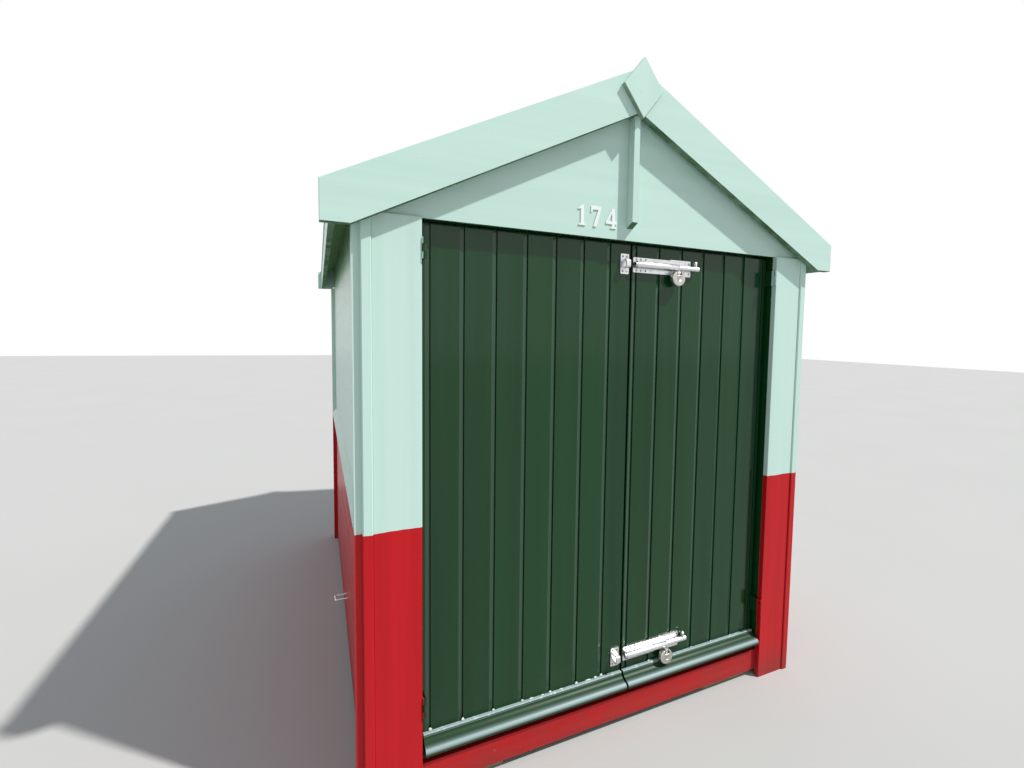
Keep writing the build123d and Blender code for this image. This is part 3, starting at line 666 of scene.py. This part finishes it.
# %% Give finishes and soft edges to the CAD pieces
def soften(piece, width):
    """Weld and bevel modifiers for slightly rounded edges."""
    weld = piece.modifiers.new("weld", "WELD")
    weld.merge_threshold = 0.00002
    bevel = piece.modifiers.new("edge", "BEVEL")
    bevel.width = width
    bevel.segments = 2
    bevel.limit_method = "ANGLE"
    bevel.angle_limit = math.radians(32)
    bevel.harden_normals = True


front_barges = ("front_left_bargeboard", "front_right_bargeboard")
rear_barges = ("rear_left_bargeboard", "rear_right_bargeboard")
post_boards = ("left_post_board", "right_post_board")
corner_boards = ("left_front_corner", "right_front_corner", "rear_corners")
finishes = (
    (two_colour, None, post_boards + corner_boards),
    (mint_level_x, None, ("gable_panel", "rear_upper_panel")),
    (mint_level_x, 0.0015, front_barges + rear_barges),
    (mint_level_y, None, ("left_upper_panel", "right_upper_panel")),
    (mint_level_y, 0.0012, ("dado_mouldings",)),
    (mint_upright, 0.0012, ("king_batten",)),
    (mint_upright, None, ("front_diamond", "rear_diamond")),
    (fascia_mint, 0.0012, ("fascias",)),
    (red_level_x, 0.0010, ("front_plinth",)),
    (weathered_timber, 0.0020, ("packers",)),
    (timber_x, None, ("roof_frame",)),
    (timber_y, None, ("floor_frame", "floor_deck")),
    (timber_z, None, ("wall_frame",)),
    (roof_boards, None, ("left_roof_deck", "right_roof_deck")),
    (green_upright, None, ("door_frame", "left_leaf_hinges")),
    (green_ledge, None, ("left_weather_bar", "right_weather_bar")),
    (left_hinge_paint, None, ("left_post_hinges",)),
    (right_hinge_paint, None, ("right_post_hinges", "right_leaf_hinges")),
    (zinc, 0.0006, ("bolt_plates", "bolt_keeps")),
    (zinc, None, ("upper_bolt_rod", "lower_bolt_rod")),
    (lock_steel, 0.0012, ("padlocks",)),
)
for material, edge, names in finishes:
    for name in names:
        nodes[name].data.materials.clear()
        nodes[name].data.materials.append(material)
        if edge:
            soften(nodes[name], edge)
print("dressed", sum(len(names) for _, _, names in finishes), "CAD nodes")

# %% [markdown]
# ## Tools for meshes
# Every added piece is a mesh that rides on one body of the hut. Most are rings of points with a
# skin of quads between them: a board is two rings, a turned lock face many. Bent rods and figures
# are drawn as curves first and then made into meshes.

# %% Helpers for meshes
def finish_mesh(name, work, outward=True):
    """The finished mesh. Closed shapes get their faces turned outward."""
    if outward:
        bmesh.ops.recalc_face_normals(work, faces=work.faces)
    mesh = bpy.data.meshes.new(name)
    work.to_mesh(mesh)
    work.free()
    return mesh


def skin(work, rings):
    """Quads between each closed ring of points and the next."""
    for one, two in zip(rings, rings[1:]):
        for k in range(len(one)):
            n = (k + 1) % len(one)
            work.faces.new((one[k], two[k], two[n], one[n]))


def prism(work, near, far):
    """A closed solid between two rings of points."""
    one = [work.verts.new(point) for point in near]
    two = [work.verts.new(point) for point in far]
    work.faces.new(one)
    work.faces.new(list(reversed(two)))
    skin(work, [one, two])


def circle(radius, steps):
    """Points (u, v) around a circle."""
    angles = [2 * math.pi * k / steps for k in range(steps)]
    return [(radius * math.cos(angle), radius * math.sin(angle)) for angle in angles]


def curve_mesh(curve):
    """The mesh of a curve."""
    holder = bpy.data.objects.new(curve.name, curve)
    bpy.context.scene.collection.objects.link(holder)
    bpy.context.view_layer.update()
    mesh = bpy.data.meshes.new_from_object(holder.evaluated_get(bpy.context.evaluated_depsgraph_get()))
    bpy.data.objects.remove(holder)
    mesh.materials.clear()
    return mesh


def mesh_piece(name, mesh, material, body, smooth=False):
    """Makes a mesh into a piece that rides on a body and takes a material slot."""
    piece = bpy.data.objects.new(name, mesh)
    bpy.context.scene.collection.objects.link(piece)
    mesh.materials.append(material)
    for polygon in mesh.polygons:
        polygon.use_smooth = smooth
    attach(piece, body)
    return piece


print("mesh helpers ready")

# %% [markdown]
# ## Shiplap boards
# Door leaves and lower walls are clad in shiplap: one edge of each board is scooped to a cove and
# carries a tongue, and the next board laps over the tongue with a square edge. Seen from outside,
# that is a soft cove followed by a thin dark line. The same profile is used upright and level, so
# one helper makes the section of a board, and another extrudes it.

# %% Helpers for boards
COVE, COVE_DEPTH, COVE_STEPS = 0.0155, 0.0045, 6
JOINT_GAP, TONGUE, LAP_PLAY = 0.0016, 0.006, 0.0004


def shiplap_section(start, stop, thickness, first, last):
    """Section of one board: (along, depth) points, with the face at depth 0 and the back at thickness."""
    lap = 0.5 * thickness
    points = [(start, 0.0)]
    if last:
        points += [(stop, 0.0), (stop, thickness)]
    else:
        edge = stop - JOINT_GAP
        for i in range(COVE_STEPS + 1):
            t = i / COVE_STEPS
            points.append((edge - COVE * (1 - t), COVE_DEPTH * t * (1.35 - 0.35 * t)))
        points += [(edge, lap + LAP_PLAY), (edge + TONGUE, lap + LAP_PLAY), (edge + TONGUE, thickness)]
    if first:
        points += [(start, thickness)]
    else:
        points += [(start + TONGUE, thickness), (start + TONGUE, lap), (start, lap)]
    return points


def shiplap_mesh(name, joints, thickness, to_point, low, high):
    """Boards between the joints, extruded from low to high. to_point(u, depth, t) places a point."""
    work = bmesh.new()
    for i, (start, stop) in enumerate(zip(joints, joints[1:])):
        section = shiplap_section(start, stop, thickness, first=i == 0, last=i == len(joints) - 2)
        prism(work, [to_point(u, depth, low) for u, depth in section],
              [to_point(u, depth, high) for u, depth in section])
    return finish_mesh(name, work)


# %% [markdown]
# ## The door leaves
# Each leaf is a row of upright shiplap boards on three ledges, with two braces between them at the
# back. The joints are at the places measured in the photograph: a narrow strip is left at the
# meeting edge of the right leaf, and another at the hinge edge of the left one.

# %% Board the leaves
BOARD_PITCH = 0.1094
LEAF_BOARD = 0.018
NARROWEST_STRIP = 0.012
FIRST_JOINTS = {"left_leaf": (-0.7062,), "right_leaf": (0.0640, 0.1712)}


def leaf_joints(low, high, first_joints):
    """The leaf's edges and the joints between them, a board's pitch apart after the first ones."""
    joints = [low, *first_joints]
    while joints[-1] + BOARD_PITCH < high - NARROWEST_STRIP:
        joints.append(joints[-1] + BOARD_PITCH)
    return joints + [high]


def in_leaf(u, depth, t):
    """A point of an upright board, from its section and its height t."""
    return u, LEAF_FACE_Y + depth, t


for name, first_joints in FIRST_JOINTS.items():
    low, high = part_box(name)
    joints = leaf_joints(low.x, high.x, first_joints)
    mesh = shiplap_mesh(f"{name}_boards", joints, LEAF_BOARD, in_leaf, low.z, high.z)
    boards = mesh_piece(f"{name}_boards", mesh, green_upright, name)
    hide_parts(name)
    soften(boards, 0.0007)
    print(name, "boards", len(joints) - 1)


# %% Ledges and braces behind the leaves
LEDGE_HEIGHTS = (0.330, 1.005, 1.680)
HALF_LEDGE = 0.0525
HINGE_MARGIN, FREE_MARGIN = 0.022, 0.016
BRACE_WIDTH, BRACE_RECESS = 0.090, 0.0005


def rectangle(x_low, x_high, z_low, z_high):
    """Four (x, z) corners."""
    return (x_low, z_low), (x_high, z_low), (x_high, z_high), (x_low, z_high)


def plank_mesh(name, planks):
    """Planks as closed solids: each is its (x, z) corners, a front y and a back y."""
    work = bmesh.new()
    for corners, front, back in planks:
        prism(work, [(x, front, z) for x, z in corners], [(x, back, z) for x, z in corners])
    return finish_mesh(name, work)


for name, side in (("left_leaf", -1), ("right_leaf", 1)):
    low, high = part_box(name)
    hinge = (low.x if side < 0 else high.x) - side * HINGE_MARGIN
    free = (high.x if side < 0 else low.x) + side * FREE_MARGIN
    front, back = LEAF_FACE_Y + LEAF_BOARD, high.y
    planks = []
    for z in LEDGE_HEIGHTS:
        planks.append((rectangle(hinge, free, z - HALF_LEDGE, z + HALF_LEDGE), front, back))
    for z_low, z_high in zip(LEDGE_HEIGHTS, LEDGE_HEIGHTS[1:]):
        foot, head = z_low + HALF_LEDGE, z_high - HALF_LEDGE
        heel, tip = hinge - side * BRACE_WIDTH, free + side * BRACE_WIDTH
        brace = ((hinge, foot), (heel, foot), (free, head), (tip, head))
        planks.append((brace, front, back - BRACE_RECESS))
    mesh = plank_mesh(f"{name}_ledges", planks)
    ledges = mesh_piece(f"{name}_ledges", mesh, timber_x, name)
    soften(ledges, 0.0018)
    print(name, "ledges and braces", len(planks))

# %% [markdown]
# ## The lower walls
# Below the moulding, the sides and the back are clad in level shiplap, painted red. Seven boards
# fill the height. The cove is on the upper edge of each board, so that rain runs off the lap.

# %% Board the lower walls
BOARDS_UP = 7
wall_pitch = (RED_TOP - BOARDS_BOTTOM) / BOARDS_UP
wall_thickness = SIDE_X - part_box("right_lower_boards")[0].x
wall_joints = [BOARDS_BOTTOM + i * wall_pitch for i in range(BOARDS_UP + 1)]


def clad_wall(wall, along, to_point, material):
    """Level boards on one lower wall, which runs along the x or the y axis."""
    title = f"{wall}_wall_boards"
    low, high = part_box(f"{wall}_lower_boards")
    start, stop = getattr(low, along), getattr(high, along)
    mesh = shiplap_mesh(title, wall_joints, wall_thickness, to_point, start, stop)
    boards = mesh_piece(title, mesh, material, "hut")
    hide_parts(f"{wall}_lower_boards")
    soften(boards, 0.0008)


clad_wall("left", "y", lambda u, depth, t: (depth - SIDE_X, t, u), red_level_y)
clad_wall("right", "y", lambda u, depth, t: (SIDE_X - depth, t, u), red_level_y)
clad_wall("rear", "x", lambda u, depth, t: (t, REAR_Y - depth, u), red_level_x)
print("wall boards", BOARDS_UP, "rows of", round(wall_pitch * 1000, 1), "mm")

# %% [markdown]
# ## Roof felt and ridge cap
# Felt comes in metre-wide rolls. Each slope takes two strips that run from front to back: the lower
# one folds down over the eave, and the upper one laps over it. The lap stands up by the thickness
# of the felt and its edge is never quite straight. A narrow strip is folded over the ridge.

# %% Lay the felt
FELT = 0.003
PITCH = 0.509
SLOPE = math.sqrt(1 + PITCH * PITCH)
LENGTHWISE_STEPS, WAVES = 40, 12
LAP_UNDER, LAP_OVER = 0.04, 0.035
FOLD_OUT, FOLD_DOWN, DRIP_OUT, DRIP_DOWN = 0.0022, 0.0012, 0.0006, 0.006
LAP_SHARES = (
    (0.0, 0.0), (0.25, 0.0), (0.5, 0.0), (0.76, 0.0), (0.80, 0.3), (0.84, 0.85), (0.88, 1.0), (1.0, 1.05),
)
felt_low, felt_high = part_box("roof_felt")
apex = felt_high.z
random.seed(7)
lap_waves = [random.uniform(-1, 1) for _ in range(WAVES)]


def lap_edge(y, middle, reach):
    """The lap's edge wanders by a couple of millimetres along the roof."""
    t = (y - felt_low.y) / (felt_high.y - felt_low.y) * 10
    i = int(t)
    f = t - i
    f = f * f * (3 - 2 * f)
    return middle + reach * (lap_waves[i % WAVES] * (1 - f) + lap_waves[(i + 1) % WAVES] * f)


def lower_strip(y, side):
    """Section of a lower strip: down the slope, round the eave and down its edge."""
    top = 0.5 * EAVE_X - LAP_UNDER
    xs = [top + (EAVE_X - top) * k / 8 for k in range(9)]
    points = [(side * x, apex - PITCH * x) for x in xs]
    edge = EAVE_X + FOLD_OUT
    drip = side * (edge + DRIP_OUT)
    points += [(side * edge, apex - PITCH * edge - FOLD_DOWN), (drip, apex - PITCH * edge - DRIP_DOWN)]
    return points + [(drip, felt_low.z + 0.001 + lap_edge(y, 0.0, 0.0008))]


def upper_strip(y, side):
    """Section of an upper strip, which rises over the edge of the lower one."""
    stop = lap_edge(y, 0.5 * EAVE_X + LAP_OVER, 0.0025)
    return [(side * stop * t, apex + FELT * lift * SLOPE - PITCH * stop * t) for t, lift in LAP_SHARES]


def lay_sheet(name, section_at, low, high, material, offset, smooth=False):
    """A sheet of felt through the sections from low to high. offset says which way it is thickened."""
    work = bmesh.new()
    stations = [low + (high - low) * i / LENGTHWISE_STEPS for i in range(LENGTHWISE_STEPS + 1)]
    rows = [[work.verts.new((x, y, z)) for x, z in section_at(y)] for y in stations]
    for one, two in zip(rows, rows[1:]):
        for corners in zip(one, one[1:], two[1:], two):
            work.faces.new(corners)
    sheet = mesh_piece(name, finish_mesh(name, work, outward=False), material, "hut", smooth)
    solid = sheet.modifiers.new("thickness", "SOLIDIFY")
    solid.thickness = FELT
    solid.offset = offset
    return sheet


for side, name in ((-1, "left"), (1, "right")):
    for label, section in (("lower", lower_strip), ("upper", upper_strip)):
        strip = lay_sheet(
            f"{name}_{label}_felt", lambda y: section(y, side), felt_low.y, felt_high.y, slope_felt, -side
        )
        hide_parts("roof_felt")
print("felt strips", 4, "apex", round(apex, 4))

# %% Fold the ridge cap
FOLD_RADIUS = 0.005
cap_low, cap_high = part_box("ridge_cap")


def cap_section(y):
    """Section of the cap: a rounded fold, and two flaps whose edges wander a little."""
    reach = cap_high.x + lap_edge(min(max(y, felt_low.y), felt_high.y), -0.0015, 0.0012)
    xs = [-reach + 2 * reach * k / 32 for k in range(33)]
    return [(x, cap_high.z - PITCH * math.sqrt(x * x + FOLD_RADIUS * FOLD_RADIUS)) for x in xs]


cap = lay_sheet("ridge_cap_felt", cap_section, cap_low.y, cap_high.y, cap_felt, 1.0, smooth=True)
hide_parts("ridge_cap")
print("ridge cap", round(cap_high.z, 4))

# %% [markdown]
# ## House numerals
# A seaside hut has its plot number on the gable: three raised figures about 70 mm high, white
# where the gable is mint. They are drawn as flat outlines, given a thickness and a soft edge. The
# figures here are plain ones of no particular hut.

# %% Cut the numerals
FIGURE_UNITS = 70
FIGURES = {
    "1": [
        [(-13, 0), (-13, 4), (-5, 7), (-5, 57), (-13, 53), (-15, 57), (2, 70), (6, 70), (6, 7), (14, 4),
         (14, 0)],
    ],
    "7": [
        [(-10, 0), (3, 0), (21, 61), (21, 70), (-19, 70), (-20, 48), (-16, 48), (-11, 58), (9, 58)],
    ],
    "4": [
        [(-2, 0), (-2, 4), (4, 7), (4, 15), (-21, 15), (-21, 24), (5, 70), (15, 70), (15, 25), (23, 25),
         (23, 15), (15, 15), (15, 7), (21, 4), (21, 0)],
        [(4, 25), (4, 53), (-12, 25)],
    ],
}
FIGURE_HEIGHT, FIGURE_THICKNESS, FIGURE_EDGE = 0.070, 0.0035, 0.0004
figures_foot = HEAD_Z + 0.035


def numeral(figure, x):
    """A flat outline with its holes, as a bevelled curve on the gable, made into a mesh."""
    curve = bpy.data.curves.new(f"figure_{figure}", "CURVE")
    curve.dimensions = "2D"
    curve.fill_mode = "BOTH"
    curve.extrude = 0.5 * FIGURE_THICKNESS - FIGURE_EDGE
    curve.bevel_depth = FIGURE_EDGE
    curve.bevel_resolution = 2
    curve.offset = -FIGURE_EDGE
    for outline in FIGURES[figure]:
        spline = curve.splines.new("POLY")
        spline.points.add(len(outline) - 1)
        for point, (u, v) in zip(spline.points, outline):
            point.co = (u * FIGURE_HEIGHT / FIGURE_UNITS, v * FIGURE_HEIGHT / FIGURE_UNITS, 0.0, 1.0)
        spline.use_cyclic_u = True
    mesh = curve_mesh(curve)
    turn = Matrix.Rotation(math.radians(90), 4, "X")
    mesh.transform(Matrix.Translation((x, GABLE_Y - 0.5 * FIGURE_THICKNESS, figures_foot)) @ turn)
    return mesh_piece(f"numeral_{figure}", mesh, figure_white, "hut")


for figure, x in (("1", -0.197), ("7", -0.1425), ("4", -0.080)):
    numeral(figure, x)
print("numerals 3, foot at", round(figures_foot, 3))

# %% [markdown]
# ## Screws and nails
# The plates of the bolts are held by small pan-head screws with a cross recess, two above and two
# below on the keeps, three pairs near the left end of each main plate and one pair at its right
# end. The head is a low dome, drawn as a polar grid that is pressed in along two crossed lines.
# Nail heads are the same dome without the cross, under the paint.

# %% Helper for screw heads
DOME_RINGS, DOME_STEPS = 7, 24
CROSS_HALF, CROSS_REACH = 0.14, 0.62


def screw_heads(name, places, radius, rise, facing, material, body, recess=0.5):
    """Domed heads with a cross recess at the given places, all looking along facing."""
    work = bmesh.new()
    turn = Vector(facing).to_track_quat("Z", "Y").to_matrix()
    for count, place in enumerate(places):
        spin = 0.7 * count
        rings = []
        for i in range(DOME_RINGS + 1):
            share = (i + 0.4) / (DOME_RINGS + 0.4)
            ring = []
            for x, y in circle(radius * share, DOME_STEPS):
                lift = rise * math.sqrt(max(0.0, 1 - share**2.6))
                turned_x = x * math.cos(spin) + y * math.sin(spin)
                turned_y = y * math.cos(spin) - x * math.sin(spin)
                if min(abs(turned_x), abs(turned_y)) < CROSS_HALF * radius and share < CROSS_REACH:
                    lift -= recess * rise
                ring.append(work.verts.new(Vector(place) + turn @ Vector((x, y, lift))))
            rings.append(ring)
        centre = work.verts.new(Vector(place) + turn @ Vector((0, 0, rise * (1 - recess))))
        for k in range(DOME_STEPS):
            work.faces.new((centre, rings[0][k], rings[0][(k + 1) % DOME_STEPS]))
        skin(work, rings)
    return mesh_piece(name, finish_mesh(name, work, outward=False), material, body, smooth=True)


# %% Screw on the bolt plates and keeps
PLATE_THICKNESS = 0.005
KEEP_MIDDLE = 0.037
OUT_OF_FRONT = (0, -1, 0)
plate_low, plate_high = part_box("bolt_plates")
keep_low, keep_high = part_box("bolt_keeps")
BOLT_LEVELS = {"upper": keep_high.z - KEEP_MIDDLE, "lower": keep_low.z + KEEP_MIDDLE}
plate_face = LEAF_FACE_Y - PLATE_THICKNESS


def pan_heads(name, places, body):
    """The screws of the bolts, which all have the same head."""
    screw_heads(name, places, 0.0042, 0.0016, OUT_OF_FRONT, screw_zinc, body)


for name, z in BOLT_LEVELS.items():
    pairs = [(plate_low.x + dx, 0.0205) for dx in (0.014, 0.034, 0.056)] + [(plate_high.x - 0.009, 0.019)]
    places = [(x, plate_face, z + dz) for x, half in pairs for dz in (half, -half)]
    pan_heads(f"{name}_plate_screws", places, "right_leaf")
    places = [(keep_low.x + dx, plate_face, z + dz) for dx in (0.009, 0.027) for dz in (-0.027, 0.027)]
    pan_heads(f"{name}_keep_screws", places, "left_leaf")
print("bolt levels", {k: round(v, 3) for k, v in BOLT_LEVELS.items()})


# %% Nail heads under the paint
def front_nails(name, places, radius, material):
    """Flat nail heads in the boards of the front."""
    screw_heads(name, places, radius, 0.0003, OUT_OF_FRONT, material, "hut", recess=0.0)


def side_nails(name, places, side, material):
    """Larger nail heads in a side wall."""
    screw_heads(name, places, 0.0034, 0.0005, (side, 0, 0), material, "hut", recess=0.0)


random.seed(11)
nails = [
    (s * along, BARGE_Y, apex - PITCH * along - drop - random.uniform(0, 0.004))
    for s in (-1, 1) for along in (0.10, 0.32, 0.54, 0.76, 0.97) for drop in (0.040, 0.120)
]
front_nails("bargeboard_nails", nails, 0.0028, mint_level_x)
nails = [
    (s * x, FRONT_Y, z + random.uniform(-0.004, 0.004))
    for s in (-1, 1) for z in (0.12, 0.46, 0.80, 1.14, 1.48, 1.80) for x in (0.765, 0.868)
]
front_nails("front_board_nails", nails, 0.0027, two_colour)
nails = [(s * x, GABLE_Y, HEAD_Z + 0.020) for s in (-1, 1) for x in (0.25, 0.50, 0.84)]
nails += [
    (s * x, GABLE_Y, HEAD_Z + 0.040 + PITCH * (0.9 - x)) for s in (-1, 1) for x in (0.15, 0.50, 0.80)
]
front_nails("gable_nails", nails, 0.0027, mint_level_x)
for s, name in ((-1, "left"), (1, "right")):
    nails = [
        (s * SIDE_X, y, BOARDS_BOTTOM + (row + 0.42) * wall_pitch + random.uniform(-0.003, 0.003))
        for row in range(BOARDS_UP) for y in (-1.12, -0.39, 0.39, 1.12)
    ]
    side_nails(f"{name}_board_nails", nails, s, red_level_y)
    nails = [(s * SIDE_X, y, z) for y in (-1.10, -0.39, 0.39, 1.10) for z in (1.02, 1.25, 1.50, 1.75)]
    side_nails(f"{name}_panel_nails", nails, s, mint_level_y)
print("nails set")

# %% [markdown]
# ## The padlocks' faces
# Each bolt is closed by a round disc padlock of steel. Its face has a raised rim, a shallow groove
# inside it and a small keyway, a thin near-black plate of painted shade with a little rust. They are
# turned on the lathe: a profile spun around the lock's axis.

# %% Turn the lock faces
LOCK_DROP = 0.043
LOCK_PROFILE = (
    (0.0130, -0.0005), (0.0128, 0.0010), (0.0118, 0.0016), (0.0106, 0.0016), (0.0098, 0.0008),
    (0.0096, 0.0002), (0.0010, 0.0002),
)
KEYWAY_HALF, KEYWAY_REACH, KEYWAY_RISE = 0.0006, 0.004, 0.0004
LATHE_STEPS = 64


def lathe(name, profile, centre, material, body):
    """Spins (radius, forward) points around an axis along -Y through centre."""
    work = bmesh.new()
    middle = Vector(centre)
    rings = []
    for radius, forward_by in profile:
        ring = [middle + Vector((u, -forward_by, v)) for u, v in circle(radius, LATHE_STEPS)]
        rings.append([work.verts.new(point) for point in ring])
    skin(work, rings)
    work.faces.new(rings[-1])
    return mesh_piece(name, finish_mesh(name, work), material, body, smooth=True)


lock_low, lock_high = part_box("padlocks")
lock_x = 0.5 * (lock_low.x + lock_high.x)
for name, level in BOLT_LEVELS.items():
    z = level - LOCK_DROP
    lathe(f"{name}_lock_ring", LOCK_PROFILE, (lock_x, lock_low.y, z), lock_steel, "right_leaf")
    corners = rectangle(lock_x - KEYWAY_HALF, lock_x + KEYWAY_HALF, z - KEYWAY_REACH, z + KEYWAY_REACH)
    # The keyway is a thin near-black plate: painted shade of the slot, with a little rust.
    keyway = plank_mesh(f"{name}_keyway", [(corners, lock_low.y - KEYWAY_RISE, lock_low.y)])
    mesh_piece(f"{name}_keyway", keyway, keyway_dark, "right_leaf")
print("lock faces at x", round(lock_x, 3))

# %% [markdown]
# ## Filler at the foot of the door joints
# Where the board joints meet the weather bar, old filler and pale undercoat have broken through the
# gloss. They are small irregular flakes that sit on the bar's ledge, against the boards.

# %% Scatter the flakes
LEDGE_Z = 0.2048
FLAKE_SIDES, HALF_FLAKE_DEPTH = 9, 0.0024
FLAKE_RINGS = ((0.0, 1.0), (0.45, 0.92), (0.85, 0.6), (1.0, 0.22))
ledge_y = LEAF_FACE_Y - 0.0026


def make_filler():
    """Pale undercoat and filler, chalky, with a little green left on it."""
    material, tree, shader, place = start_material("old_filler", Specular_IOR_Level=0.3)
    spots = noise(tree, place, 260.0, 4.0)
    colour = blend_colours(tree, spread(tree, spots, 0.55, 0.68), (0.74, 0.77, 0.72), (0.12, 0.22, 0.15))
    end_material(tree, shader, colour, spread(tree, spots, 0.2, 0.8, 0.5, 0.85), spots, 0.4, 0.0006)
    return material


old_filler = make_filler()


def flakes(side, seed, lumps):
    """Irregular lumps on one leaf's ledge, each an x, a width and a height, with pushed-about points."""
    random.seed(seed)
    work = bmesh.new()
    for x, width, height in lumps:
        rings = []
        for rise, swell in FLAKE_RINGS:
            ring = []
            for u, v in circle(1.0, FLAKE_SIDES):
                wobble = random.uniform(0.78, 1.15) * swell
                ring.append(work.verts.new((
                    x + 0.5 * width * wobble * u,
                    ledge_y + HALF_FLAKE_DEPTH * wobble * v,
                    LEDGE_Z + height * rise * random.uniform(0.9, 1.05),
                )))
            rings.append(ring)
        skin(work, rings)
        work.faces.new(rings[-1])
        work.faces.new(list(reversed(rings[0])))
    title = f"{side}_filler_flakes"
    mesh_piece(title, finish_mesh(title, work), old_filler, f"{side}_leaf", smooth=True)
    print(title, len(lumps))


flakes("left", 21, (
    (-0.708, 0.013, 0.012), (-0.598, 0.012, 0.011), (-0.489, 0.010, 0.008), (-0.380, 0.012, 0.008),
    (-0.345, 0.022, 0.004), (-0.300, 0.014, 0.003), (-0.270, 0.012, 0.008), (-0.225, 0.018, 0.003),
    (-0.161, 0.014, 0.010), (-0.110, 0.026, 0.005), (-0.078, 0.016, 0.008), (-0.052, 0.014, 0.011),
    (-0.020, 0.010, 0.005),
))
flakes("right", 22, (
    (0.171, 0.010, 0.006), (0.390, 0.009, 0.005), (0.499, 0.009, 0.005), (0.608, 0.008, 0.004),
))

# %% [markdown]
# ## The wire hoop on the left wall
# Low on the left wall a bent metal rod stands out of the boards. It is one rod with rounded bends,
# drawn as a curve with a round section.

# %% Bend the rod
HOOP_Y, HOOP_Z = -0.17, 0.218
HOOP_REACH, HALF_HOOP, BEND, IN_THE_BOARD = 0.053, 0.023, 0.009, 0.004
ROD_RADIUS = 0.0035


def bent_rod(name, points, material, body):
    """A round rod along a smooth curve, made into a mesh."""
    curve = bpy.data.curves.new(name, "CURVE")
    curve.dimensions = "3D"
    curve.bevel_depth = ROD_RADIUS
    curve.bevel_resolution = 5
    curve.use_fill_caps = True
    spline = curve.splines.new("NURBS")
    spline.points.add(len(points) - 1)
    for point, place in zip(spline.points, points):
        point.co = (*place, 1.0)
    spline.order_u = 3
    spline.use_endpoint_u = True
    spline.resolution_u = 8
    return mesh_piece(name, curve_mesh(curve), material, body, smooth=True)


root_x, out_x = -SIDE_X + IN_THE_BOARD, -SIDE_X - HOOP_REACH
front_arm, rear_arm = HOOP_Y - HALF_HOOP, HOOP_Y + HALF_HOOP
hoop = [
    (root_x, front_arm, HOOP_Z), (out_x + BEND, front_arm, HOOP_Z), (out_x, front_arm, HOOP_Z),
    (out_x, front_arm + BEND, HOOP_Z), (out_x, rear_arm - BEND, HOOP_Z), (out_x, rear_arm, HOOP_Z),
    (out_x + BEND, rear_arm, HOOP_Z), (root_x, rear_arm, HOOP_Z),
]
bent_rod("left_wall_hoop", hoop, zinc, "hut")
print("hoop at y", HOOP_Y)

# %% [markdown]
# ## Floor and light
# The hut stands on a plain pale floor. One soft sun comes from the upper right in front, which
# draws the slanting shadow of the bargeboards on the gable, and an even pale world fills the
# shadows. The world is white for the camera and for reflections, and weaker as a light.

# %% Lay the floor
def pale_floor():
    """Plain pale floor with a barely visible mottling."""
    material, tree, shader, place = start_material("studio_floor", Specular_IOR_Level=0.1, Roughness=0.9)
    colour = blend_colours(tree, noise(tree, place, 0.8, 2.0), (0.50, 0.50, 0.49), (0.53, 0.53, 0.52))
    end_material(tree, shader, colour)
    return material


work = bmesh.new()
bmesh.ops.create_grid(work, x_segments=4, y_segments=4, size=30.0)
floor_mesh = finish_mesh("studio_floor", work, outward=False)
floor_mesh.materials.append(pale_floor())
floor = bpy.data.objects.new("studio_floor", floor_mesh)
bpy.context.scene.collection.objects.link(floor)
print("floor", [round(c) for c in floor.dimensions[:2]], "m")

# %% Light the hut
SKY_FILL, SKY_SEEN = (0.46, 0.49, 0.53), (1.0, 1.0, 1.0)
TOWARD_SUN = Vector((0.461, -0.405, 0.789))
world = bpy.data.worlds.new("studio")
bpy.context.scene.world = world
world.use_nodes = True
tree = world.node_tree
background = next(n for n in tree.nodes if n.type == "BACKGROUND")
rays = add_node(tree, "ShaderNodeLightPath").outputs
seen = combine(tree, "MAXIMUM", rays["Is Camera Ray"], rays["Is Glossy Ray"])
seen = combine(tree, "MAXIMUM", seen, rays["Is Transmission Ray"])
tree.links.new(blend_colours(tree, seen, SKY_FILL, SKY_SEEN), background.inputs["Color"])
background.inputs["Strength"].default_value = 1.0

sun_data = bpy.data.lights.new("key_sun", "SUN")
sun_data.energy = 3.6
sun_data.angle = math.radians(1.5)
sun_data.color = (1.0, 0.985, 0.955)
sun = bpy.data.objects.new("key_sun", sun_data)
bpy.context.scene.collection.objects.link(sun)
sun.rotation_euler = TOWARD_SUN.to_track_quat("Z", "Y").to_euler()
bpy.context.scene.view_settings.view_transform = "Standard"
print("lit from", [round(c, 3) for c in TOWARD_SUN])
